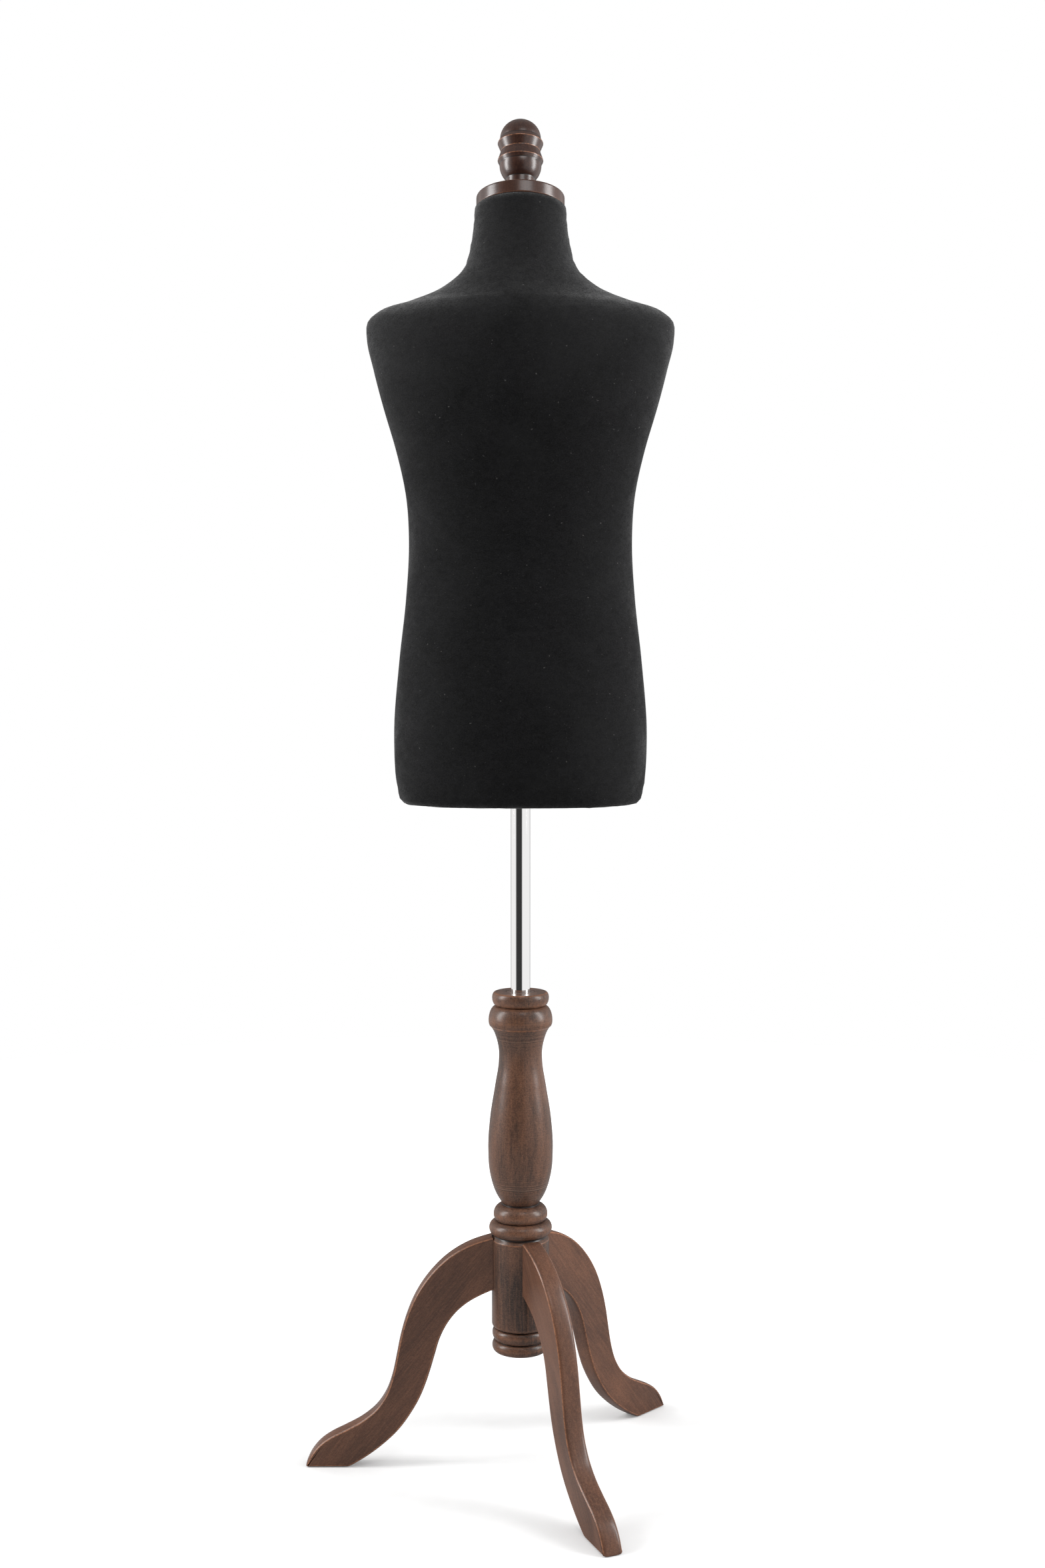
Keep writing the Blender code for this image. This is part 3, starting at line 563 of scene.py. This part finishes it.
def build_column():
    """Two beads, a cove and vase, two rings, the plain cylinder for the legs and two foot rings."""
    seat = BUSH_FLANGE_R + GAP
    outside = [(seat, COLUMN_TOP)]
    outside += bead((0.0296, COLUMN_TOP), (0.0328, 0.5517), (0.0279, 0.5425))
    outside += bead((0.0280, 0.5422), (0.0369, 0.5251), (0.0344, 0.5182))
    outside += list(map(tuple, curve_through(
        [(0.0342, 0.5182), (0.0308, 0.5125), (0.0274, 0.5025), (0.0251, 0.4905), (0.0252, 0.4770),
         (0.0293, 0.4500), (0.0352, 0.4125), (0.0376, 0.3750), (0.0352, 0.3450), (0.0283, 0.3230),
         (0.0213, 0.3115)], 1.0 * MM)))
    outside += bead((0.0213, 0.3100), (0.0314, 0.2985), (0.0276, 0.2915))
    outside += bead((0.0278, 0.2912), (0.0366, 0.2825), (0.0306, 0.2748))
    outside += [(0.0300, 0.2742), (0.0304, 0.2726), (CYLINDER_R, 0.2690), (CYLINDER_R, 0.1690)]
    outside += [(0.0322, 0.1668), (0.0290, 0.1658)]
    outside += bead((0.0286, 0.1648), (0.0329, 0.1588), (0.0290, 0.1512))
    outside += bead((0.0284, 0.1501), (0.0331, 0.1437), (0.0285, COLUMN_BOTTOM))
    outside.append((CHAMBER_R + 1.0 * MM, COLUMN_BOTTOM))
    sleeve_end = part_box("top_bush")[0].z - GAP
    sleeve_r = BUSH_SLEEVE_R + GAP
    recess = COLUMN_TOP - BUSH_FLANGE_THICKNESS - GAP
    inside = [(CHAMBER_R, COLUMN_BOTTOM), (CHAMBER_R, CHAMBER_TOP), (COLUMN_BORE_R, CHAMBER_TOP),
              (COLUMN_BORE_R, sleeve_end), (sleeve_r, sleeve_end), (sleeve_r, recess), (seat, recess)]
    column = turned("column_fine", outside, inside, steps=112, worn_heights=COLUMN_WORN,
                    lathe_heights=COLUMN_TURNING_LINES)
    place(column, POLE_AXIS)
    rear_wall = Vector((POLE_AXIS.x, POLE_AXIS.y + 28 * MM, CLAMP_PLACE.z))
    bored(column, INSERT_HOLE_R, 40 * MM, rear_wall, CLAMP_TO_LOCAL_Z)
    fit(column, "base", "stained_wood", TURNED_WOOD, "column")


def build_top_bush():
    """A flanged guide ring, flush with the column's top face."""
    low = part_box("top_bush")[0].z
    under_flange = COLUMN_TOP - BUSH_FLANGE_THICKNESS
    outside = [(BUSH_BORE_R, COLUMN_TOP), (BUSH_FLANGE_R, COLUMN_TOP), (BUSH_FLANGE_R, under_flange)]
    inside = [(BUSH_SLEEVE_R, under_flange), (BUSH_SLEEVE_R, low), (BUSH_BORE_R, low)]
    bush = turned("top_bush_fine", outside, inside, steps=72, step=0.4 * MM, soften=1)
    fit(place(bush, POLE_AXIS), "base", "brown_plastic", BROWN_PLASTIC, "top_bush")


def build_neck_cap():
    """A flat disc square to the neck, its lower edge worn to a light lip."""
    radius, half = 50.3 * MM, CAP_THICKNESS / 2
    hole = 3.5 * MM
    outside = [(hole, half), (radius - 0.6 * MM, half), (radius, half - 1.2 * MM),
               (radius, -half + 0.8 * MM), (radius - 1.0 * MM, -half), (radius - 8 * MM, -half)]
    cap = turned("neck_cap_fine", outside, [(hole, -half)], steps=128, step=0.5 * MM, soften=1,
                 worn_radius=0.8 * MM)
    fit(place(cap, CAP_MIDDLE, NECK_TILT), "torso", "stained_wood", POLISHED_WOOD, "neck_cap")


def build_finial():
    """Dome, two sharp-edged rings and a round cup on a short collar; heights are above the cap."""
    ring_r, valley_r, collar_r = 0.0262, 0.0223, 0.0166
    dome = np.array(arc((0, 0), 1.0, 90, 4, 24)) * (0.0233, 0.0216) + (0, 0.0698)
    outside = [tuple(point) for point in dome]
    outside += [(0.0234, 0.0690), (ring_r, 0.0640), (valley_r, 0.0545), (ring_r, 0.0434), (0.0244, 0.0398)]
    outside += arc((0, 0.0385), 0.0240, 2, -46, 14)
    outside += [(collar_r, 0.0208), (collar_r, 0.0040), (collar_r + 0.3 * MM, 0.0012)]
    finial = turned("finial_fine", outside, [(0.0155, GAP), (0, GAP)], steps=96, step=0.4 * MM, soften=2,
                    worn_radius=1.7 * MM, worn_heights=((0.0545, 0.45 * MM, 1.0), (0.0014, 0.6 * MM, 1.0)))
    foot = CAP_MIDDLE + NECK_DIRECTION * CAP_THICKNESS / 2
    fit(place(finial, foot, NECK_TILT), "finial", "stained_wood", POLISHED_WOOD, "finial")


# ---------------------------------------------------------------- legs

LEG_ANGLES = {"front": -67.0, "left": 180.0, "right": 46.0}
LEG_THICKNESS = 22.0 * MM
LEG_ROOT = CYLINDER_R + GAP
LEG_TOP_CURVE = ((LEG_ROOT, 0.2730), (0.0620, 0.2632), (0.0860, 0.2482), (0.1045, 0.2300), (0.1215, 0.2055),
                 (0.1325, 0.1805), (0.1402, 0.1540), (0.1450, 0.1300), (0.1500, 0.1070), (0.1567, 0.0880),
                 (0.1680, 0.0705), (0.1850, 0.0560), (0.2050, 0.0450), (0.2210, 0.0370), (0.2345, 0.0275),
                 (0.2445, 0.0155), (0.2515, 0.0))
LEG_UNDER_CURVE = ((0.2000, 0.0), (0.1800, 0.0118), (0.1600, 0.0268), (0.1420, 0.0440), (0.1280, 0.0630),
                   (0.1172, 0.0820), (0.1095, 0.1010), (0.1040, 0.1180), (0.0992, 0.1345), (0.0937, 0.1525),
                   (0.0855, 0.1690), (0.0745, 0.1835), (0.0610, 0.1950), (0.0460, 0.2035),
                   (LEG_ROOT, 0.2090))
# How far in from the outline, how far in from the side face, and how worn each line along an edge is
LEG_EDGE = ((2.9, 0.0, 0.0), (2.3, 0.0, 1.0), (1.7, 0.5, 0.5), (1.0, 1.2, 0.0), (0.5, 2.4, 0.0),
            (0.2, 4.3, 0.0), (0.03, 7.5, 0.0))


def leg_outline():
    """Closed outline in the leg's own plane, (distance from the axis, height), from the root's top."""
    upper = curve_through(LEG_TOP_CURVE, 1.0 * MM)
    under = curve_through(LEG_UNDER_CURVE, 1.0 * MM)
    root_foot = np.array([(LEG_ROOT, LEG_UNDER_CURVE[-1][1] + 0.2 * MM)])
    path = evenly_spaced(np.vstack([upper, under, root_foot]), 1.1 * MM)
    path = softened(path, 8)
    path[:, 0] = np.maximum(path[:, 0], LEG_ROOT)
    path[:, 1] = np.maximum(path[:, 1], 0.0)
    return path


def build_legs():
    """Three legs of one shape, each edge rounded in steps; the roots are hollowed to the column's round."""
    path = leg_outline()
    tangent = np.gradient(path, axis=0)
    tangent /= np.linalg.norm(tangent, axis=1)[:, None]
    inward = np.column_stack([tangent[:, 1], -tangent[:, 0]])
    inward[0] = (0, -1)
    inward[-1] = (0, 1)
    half = LEG_THICKNESS / 2
    rings = [(inset * MM, half - drop * MM, wear) for inset, drop, wear in LEG_EDGE]
    rings += [(inset * MM, drop * MM - half, wear) for inset, drop, wear in reversed(LEG_EDGE)]
    at_root = path[:, 0] < LEG_ROOT + 0.01 * MM
    verts, wear = [], []
    for inset, side, worn in rings:
        moved = path + inward * inset
        moved[:, 0] = np.maximum(moved[:, 0], LEG_ROOT)
        moved[at_root, 0] = math.sqrt(LEG_ROOT**2 - side**2)
        verts.append(np.column_stack([moved[:, 0], np.full(len(path), side), moved[:, 1]]))
        wear.append(np.full(len(path), worn))
    count = len(path)
    faces = [tuple(range(count)), tuple(range((len(rings) - 1) * count, len(rings) * count))]
    faces += ring_faces(len(rings) - 1, count, len(rings))
    for side, angle in LEG_ANGLES.items():
        leg = new_piece("leg_" + side + "_fine", np.vstack(verts), faces,
                        {"wear": np.concatenate(wear), "groove": np.zeros(count * len(rings))}, sharp=28)
        place(leg, POLE_AXIS, Matrix.Rotation(math.radians(angle), 4, 'Z'))
        fit(leg, "base", "stained_wood", SAWN_WOOD, "leg_" + side)


# ---------------------------------------------------------------- pole and clamp

def build_pole():
    """The chrome tube, open at both ends, with its rims broken."""
    low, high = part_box("pole_tube")
    radius, wall = (high.x - low.x) / 2, 1.2 * MM
    outside = [(radius - wall, high.z), (radius - 0.3 * MM, high.z), (radius, high.z - 0.4 * MM),
               (radius, low.z + 0.4 * MM), (radius - 0.3 * MM, low.z)]
    tube = turned("pole_tube_fine", outside, [(radius - wall, low.z)], steps=96, step=4 * MM, soften=0)
    fit(place(tube, POLE_AXIS), "pole", "chrome", CHROME, "pole_tube")


def build_knob():
    """Six-lobed knob about local Z, flat on its outer face, with a hub towards the column."""
    low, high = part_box("clamp_knob")
    length = high.y - low.y
    reach = (high.x - low.x) / 2
    lobes, lobe_depth, hub, steps = 6, 0.085, 0.55, 144
    # Share of the length from the column outwards, and share of the reach
    stations = [(0.0, 0.0), (0.0, hub - 0.04), (0.02, hub), (0.30, hub), (0.36, hub + 0.10), (0.40, 0.90),
                (0.44, 0.97), (0.50, 1.0), (0.86, 1.0), (0.94, 0.965), (0.985, 0.90), (1.0, 0.82),
                (1.0, 0.0)]
    angles = np.arange(steps) * math.tau / steps
    verts = []
    for along, share in stations:
        depth = lobe_depth * max(0.0, (share - hub) / (1 - hub))
        radius = reach * (share - depth * (1 - np.cos(lobes * angles)))
        verts.append(np.column_stack([radius * np.cos(angles), radius * np.sin(angles),
                                      np.full(steps, along * length)]))
    faces = ring_faces(len(stations) - 1, steps, len(stations))
    knob = new_piece("clamp_knob_fine", np.concatenate(verts), faces, sharp=40, weld=WELD)
    place(knob, Vector((CLAMP_PLACE.x, low.y, CLAMP_PLACE.z)), CLAMP_TO_LOCAL_Z)
    fit(knob, "clamp_turn", "black_plastic", BLACK_PLASTIC, "clamp_knob")


def build_clamp_screw():
    """M8 screw with its thread cut as close rings, and a plain tip for the pad."""
    low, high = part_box("clamp_screw")
    radius, depth, pitch = 4.0 * MM, 0.55 * MM, 1.25 * MM
    length = high.y - low.y
    tip_r, tip_length = 2.2 * MM, 2.5 * MM
    outside = [(0, length), (radius - depth, length)]
    crest = length - 0.6 * MM
    while crest > tip_length + pitch:
        outside += [(radius, crest), (radius - depth, crest - pitch / 2)]
        crest -= pitch
    outside += [(radius - depth, tip_length), (tip_r, tip_length), (tip_r, 0), (0, 0)]
    screw = turned("clamp_screw_fine", outside, steps=36, step=0.2 * MM, soften=0)
    place(screw, Vector((CLAMP_PLACE.x, low.y, CLAMP_PLACE.z)), CLAMP_TO_LOCAL_Z)
    fit(screw, "clamp_turn", "zinc_steel", ZINC_STEEL, "clamp_screw")


# ---------------------------------------------------------------- torso

# Height, half width, centre forward of the pole, half depth, squareness (2 is an ellipse), lean in degrees
TORSO_SECTIONS = (
    (1.4506, 0.0520, 0.0220, 0.0500, 2.0, 9.5),
    (1.4125, 0.0557, 0.0165, 0.0535, 2.0, 6.0),
    (1.3790, 0.0655, 0.0115, 0.0605, 2.0, 3.0),
    (1.3605, 0.0870, 0.0075, 0.0680, 1.75, 0.0),
    (1.3419, 0.1295, 0.0030, 0.0760, 1.50, 0.0),
    (1.3316, 0.1605, 0.0010, 0.0800, 1.55, 0.0),
    (1.3200, 0.1730, 0.0000, 0.0835, 1.70, 0.0),
    (1.3010, 0.1737, 0.0000, 0.0880, 1.90, 0.0),
    (1.2670, 0.1660, 0.0000, 0.0930, 2.15, 0.0),
    (1.2230, 0.1545, 0.0020, 0.0960, 2.30, 0.0),
    (1.1780, 0.1410, 0.0030, 0.0945, 2.4, 0.0),
    (1.1220, 0.1295, 0.0020, 0.0885, 2.3, 0.0),
    (1.0765, 0.1270, 0.0010, 0.0860, 2.2, 0.0),
    (1.0080, 0.1305, -0.0010, 0.0895, 2.2, 0.0),
    (0.9400, 0.1378, -0.0050, 0.0945, 2.3, 0.0),
    (0.8485, 0.1440, -0.0080, 0.0985, 2.3, 0.0),
    (0.8030, 0.1415, -0.0090, 0.0970, 2.3, 0.0),
    (0.7883, 0.1390, -0.0090, 0.0950, 2.3, 0.0),
)
HEM_CORNER = 12.0 * MM
HEM_RETURN = 25.0 * MM
COVER_THICKNESS = 1.2 * MM
COVER_STEP = 6.0 * MM
COVER_COLUMNS = 152
SHELL_INSET = 4.0 * MM
SHELL_THICKNESS = 4.0 * MM
SHELL_STEP = 8.0 * MM
SHELL_COLUMNS = 96
GATHER_DEPTH = 0.9 * MM
GATHER_REACH = 24.0 * MM
# Size, number round the hem and phase of each train of waves in the gathers
GATHER_WAVES = ((0.45, 31, 0.4), (0.35, 43, 2.1), (0.30, 19, 4.0), (0.25, 57, 1.2))
CLOTH_CLEARANCE = 1.0 * MM
FORM_INSET = 2 * CLOTH_CLEARANCE + 0.1 * MM
FORM_HEM_RETURN = 10.0 * MM
DRAPE_FRAMES = 14
DRAPE_LIMIT = 2.5 * MM


def section_ring(section, inset, columns):
    """Evenly spaced points round one section about the pole's axis, moved in by inset."""
    height, half_width, centre, half_depth, squareness, lean = section
    fine_steps = 1440
    angles = np.linspace(0, math.tau, fine_steps + 1)
    power = 2 / squareness
    across = np.sign(np.cos(angles)) * np.abs(np.cos(angles))**power * (half_width - inset)
    forward = np.sign(np.sin(angles)) * np.abs(np.sin(angles))**power * (half_depth - inset)
    spans = np.hypot(np.diff(across), np.diff(forward))
    along = np.concatenate([[0.0], np.cumsum(spans)])
    places = np.arange(columns) * along[-1] / columns
    across = np.interp(places, along, across)
    forward = np.interp(places, along, forward)
    tip = math.radians(lean)
    return np.column_stack([across, centre + forward * math.cos(tip), height - forward * math.sin(tip)])


def torso_rings(step, columns, inset=0.0, hem_return=HEM_RETURN):
    """Rings from the neck down, round the hem's corner and in under it."""
    rings = [section_ring(row, inset, columns) for row in curve_through(TORSO_SECTIONS, step, slice(0, 2))]
    last = TORSO_SECTIONS[-1]
    corner = HEM_CORNER - inset
    for turn in np.linspace(0, 90, max(3, round(corner * math.pi / 2 / step) + 1))[1:]:
        angle = math.radians(turn)
        height = last[0] - corner * math.sin(angle)
        rings.append(section_ring((height, *last[1:]), inset + corner * (1 - math.cos(angle)), columns))
    for reach in np.linspace(0, hem_return, round(hem_return / step) + 1)[1:]:
        rings.append(section_ring((last[0] - corner, *last[1:]), inset + corner + reach, columns))
    return rings


def ring_sheet(name, rings):
    """An open sheet through rings of points."""
    faces = ring_faces(len(rings) - 1, len(rings[0]), len(rings))
    return new_piece(name, np.concatenate(rings), faces, sharp=60)


def hem_gathers(rings):
    """Slack for the cloth to take up: uneven small pleats where the cover turns in under the hem."""
    heights = np.array([ring[:, 2].mean() for ring in rings])
    count = len(rings[0])
    angles = np.arange(count) * math.tau / count
    pleat = sum(size * np.cos(number * angles + phase) for size, number, phase in GATHER_WAVES)
    patchy = 0.55 + 0.45 * np.cos(3 * angles + 0.9) * np.cos(2 * angles + 2.4)
    near = np.clip(1 - (heights - heights.min()) / GATHER_REACH, 0, 1)**1.5
    gathered = []
    for ring, share in zip(rings, near):
        outward = ring - ring.mean(axis=0)
        outward[:, 2] = 0
        outward /= np.linalg.norm(outward, axis=1)[:, None]
        gathered.append(ring + outward * (pleat * patchy * share * GATHER_DEPTH)[:, None])
    return gathered


def drape(cover):
    """Simulates the cover as cloth pulled over the hard form, held at the neck and inside the hem.

    No point may end more than DRAPE_LIMIT from where it started.
    """
    form = ring_sheet("form", torso_rings(COVER_STEP, COVER_COLUMNS, FORM_INSET, FORM_HEM_RETURN))
    place(form, POLE_AXIS)
    form.modifiers.new("hard", 'COLLISION')
    form.collision.thickness_outer = CLOTH_CLEARANCE
    form.collision.cloth_friction = 4
    count = len(cover.data.vertices)
    held = cover.vertex_groups.new(name="held")
    held.add([*range(COVER_COLUMNS), *range(count - COVER_COLUMNS, count)], 1.0, 'REPLACE')
    cloth = cover.modifiers.new("drape", 'CLOTH')
    cloth.settings.quality = 5
    cloth.settings.mass = 0.05
    cloth.settings.tension_stiffness = 30
    cloth.settings.compression_stiffness = 12
    cloth.settings.shear_stiffness = 8
    cloth.settings.bending_stiffness = 1.0
    cloth.settings.air_damping = 4
    cloth.settings.shrink_min = 0.001
    cloth.settings.vertex_group_mass = "held"
    cloth.settings.effector_weights.gravity = 0.02
    cloth.collision_settings.distance_min = CLOTH_CLEARANCE
    cloth.collision_settings.collision_quality = 3
    cloth.point_cache.frame_end = DRAPE_FRAMES
    scene = bpy.context.scene
    for moment in range(1, DRAPE_FRAMES + 1):
        scene.frame_set(moment)
    draped = bpy.data.meshes.new_from_object(cover.evaluated_get(bpy.context.evaluated_depsgraph_get()))
    start = np.array([v.co for v in cover.data.vertices])
    move = np.array([v.co for v in draped.vertices]) - start
    length = np.linalg.norm(move, axis=1)[:, None]
    move *= np.minimum(1, DRAPE_LIMIT / np.maximum(length, 1e-9))
    cover.modifiers.clear()
    cover.data.vertices.foreach_set("co", (start + move).ravel())
    cover.data.update()
    scene.frame_set(1)
    bpy.data.objects.remove(form, do_unlink=True)


def build_cover():
    cover = ring_sheet("fabric_cover_fine", hem_gathers(torso_rings(COVER_STEP, COVER_COLUMNS)))
    place(cover, POLE_AXIS)
    drape(cover)
    thick = cover.modifiers.new("cloth_thickness", 'SOLIDIFY')
    thick.thickness = COVER_THICKNESS
    thick.offset = -1
    fit(cover, "torso", "black_fabric", FABRIC, "fabric_cover")


def build_shell():
    """The hard form under the cover, open at its neck and its foot."""
    shell = ring_sheet("torso_shell_fine", torso_rings(SHELL_STEP, SHELL_COLUMNS, SHELL_INSET, 0.0))
    place(shell, POLE_AXIS)
    wall = shell.modifiers.new("wall", 'SOLIDIFY')
    wall.thickness = SHELL_THICKNESS
    wall.offset = -1
    fit(shell, "torso", "shell_laminate", SHELL_LAMINATE, "torso_shell")


# ---------------------------------------------------------------- carried-over CAD pieces

CARRIED_FINISHES = {
    "hanger_bolt": ZINC_STEEL, "flange_nut": ZINC_STEEL, "socket_screw": ZINC_STEEL,
    "finial_stud": ZINC_STEEL, "pole_socket": ZINC_STEEL, "clamp_insert": BRASS, "neck_insert": BRASS,
    "clamp_pad": WHITE_NYLON, "pole_foot_guide": WHITE_NYLON, "pole_top_plug": WHITE_NYLON,
    "thrust_pad": WHITE_NYLON, "base_board": PLYWOOD, "neck_block": BEECH, "cap_dowel": BEECH,
}


def finish_carried_nodes():
    """Every CAD node that still shows takes the procedural material of its name."""
    for name, node in frame["nodes"].items():
        if node.hide_render:
            continue
        finish = next(finish for start, finish in CARRIED_FINISHES.items() if name.startswith(start))
        node.data.materials.clear()
        node.data.materials.append(finish)


# ---------------------------------------------------------------- studio

FLOOR_RADIUS = 2.6
CAMERA_DISTANCE = 2.137
CAMERA_HEIGHT = 0.925
CAMERA_SIDE = 0.0023
CAMERA_PITCH = 3.4
LENS_MM = 42.86
SENSOR_MM = 36.0


def build_floor():
    bpy.ops.mesh.primitive_circle_add(vertices=96, radius=FLOOR_RADIUS, fill_type="NGON")
    floor = bpy.context.object
    floor.name = "studio_floor"
    floor.data.materials.append(studio_floor())


# Where the dark sectors begin and end, in degrees round from straight behind the camera
FRONT_DARK_FROM = (-62, -48)
FRONT_DARK_TO = (14, 24)
REAR_DARK_FROM = (140, 152)
REAR_SHADE = 0.75
DARKEST = 0.04
# Brightness of the low and the high sky, for light that falls on a surface and for what it mirrors
LOW_SKY = (0.54, 0.95)
HIGH_SKY = (1.15, 0.35)


def build_world():
    """White as the camera sees it; to the object, dark behind the camera and behind the backdrop."""
    world = bpy.data.worlds.new("studio")
    world.use_nodes = True
    bpy.context.scene.world = world
    tree = world.node_tree

    def node(kind, inputs=None, **settings):
        made = tree.nodes.new("ShaderNode" + kind)
        for key, value in settings.items():
            setattr(made, key, value)
        for key, value in (inputs or {}).items():
            if isinstance(value, bpy.types.NodeSocket):
                tree.links.new(value, made.inputs[key])
            else:
                made.inputs[key].default_value = value
        return made

    def math_node(operation, a, b=0.0):
        return node("Math", {0: a, 1: b}, operation=operation).outputs["Value"]

    def step(value, low, high, out_low, out_high):
        return node("MapRange", {"Value": value, "From Min": low, "From Max": high, "To Min": out_low,
                                 "To Max": out_high}, clamp=True).outputs["Result"]

    def blended(share, a, b):
        return node("Mix", {0: share, 2: a, 3: b}, data_type='FLOAT').outputs[0]

    direction = node("SeparateXYZ", {0: node("TexCoord").outputs["Generated"]}).outputs
    azimuth = math_node('ARCTAN2', direction["X"], math_node('MULTIPLY', direction["Y"], -1.0))
    degrees = math_node('MULTIPLY', azimuth, 180 / math.pi)
    front = math_node('MULTIPLY', step(degrees, *FRONT_DARK_FROM, 0.0, 1.0),
                      step(degrees, *FRONT_DARK_TO, 1.0, 0.0))
    rear = step(math_node('ABSOLUTE', degrees), *REAR_DARK_FROM, 0.0, REAR_SHADE)
    shade = math_node('MULTIPLY', math_node('ADD', front, rear), step(direction["Z"], 0.45, 0.85, 1.0, 0.0))
    ray = node("LightPath").outputs
    low = blended(ray["Is Glossy Ray"], *LOW_SKY)
    high = blended(ray["Is Glossy Ray"], *HIGH_SKY)
    level = blended(step(direction["Z"], 0.15, 0.7, 0.0, 1.0), low, high)
    level = math_node('MULTIPLY', level, step(shade, 0.0, 1.0, 1.0, DARKEST))
    strength = blended(ray["Is Camera Ray"], level, 1.0)
    tree.links.new(strength, tree.nodes["Background"].inputs["Strength"])
    tree.nodes["Background"].inputs["Color"].default_value = (1, 1, 1, 1)


def add_softbox(name, location, target, width, height, power):
    light = bpy.data.lights.new(name, 'AREA')
    light.shape = 'RECTANGLE'
    light.size = width
    light.size_y = height
    light.energy = power
    softbox = bpy.data.objects.new(name, light)
    softbox.location = location
    softbox.rotation_euler = (Vector(target) - Vector(location)).to_track_quat('-Z', 'Y').to_euler()
    bpy.context.scene.collection.objects.link(softbox)


def build_lights():
    add_softbox("left_softbox", (-2.3, -0.20, 1.6), (0, 0, 1.0), 0.8, 2.0, 70)
    add_softbox("right_softbox", (2.3, -0.35, 1.6), (0, 0, 1.0), 0.8, 2.0, 66)
    add_softbox("top_softbox", (0.4, -1.3, 2.4), (0, 0, 1.3), 0.8, 0.6, 7)


def build_camera():
    lens = bpy.data.cameras.new("camera")
    lens.lens = LENS_MM
    lens.sensor_width = SENSOR_MM
    lens.clip_end = 100
    camera = bpy.data.objects.new("camera", lens)
    camera.location = (POLE_AXIS.x + CAMERA_SIDE, POLE_AXIS.y - CAMERA_DISTANCE, CAMERA_HEIGHT)
    camera.rotation_euler = (math.radians(90 - CAMERA_PITCH), 0, 0)
    bpy.context.scene.collection.objects.link(camera)
    bpy.context.scene.camera = camera
    bpy.context.scene.view_settings.view_transform = 'Standard'


build_column()
build_top_bush()
build_neck_cap()
build_finial()
build_legs()
build_pole()
build_knob()
build_clamp_screw()
build_cover()
build_shell()
finish_carried_nodes()
build_floor()
build_world()
build_lights()
build_camera()
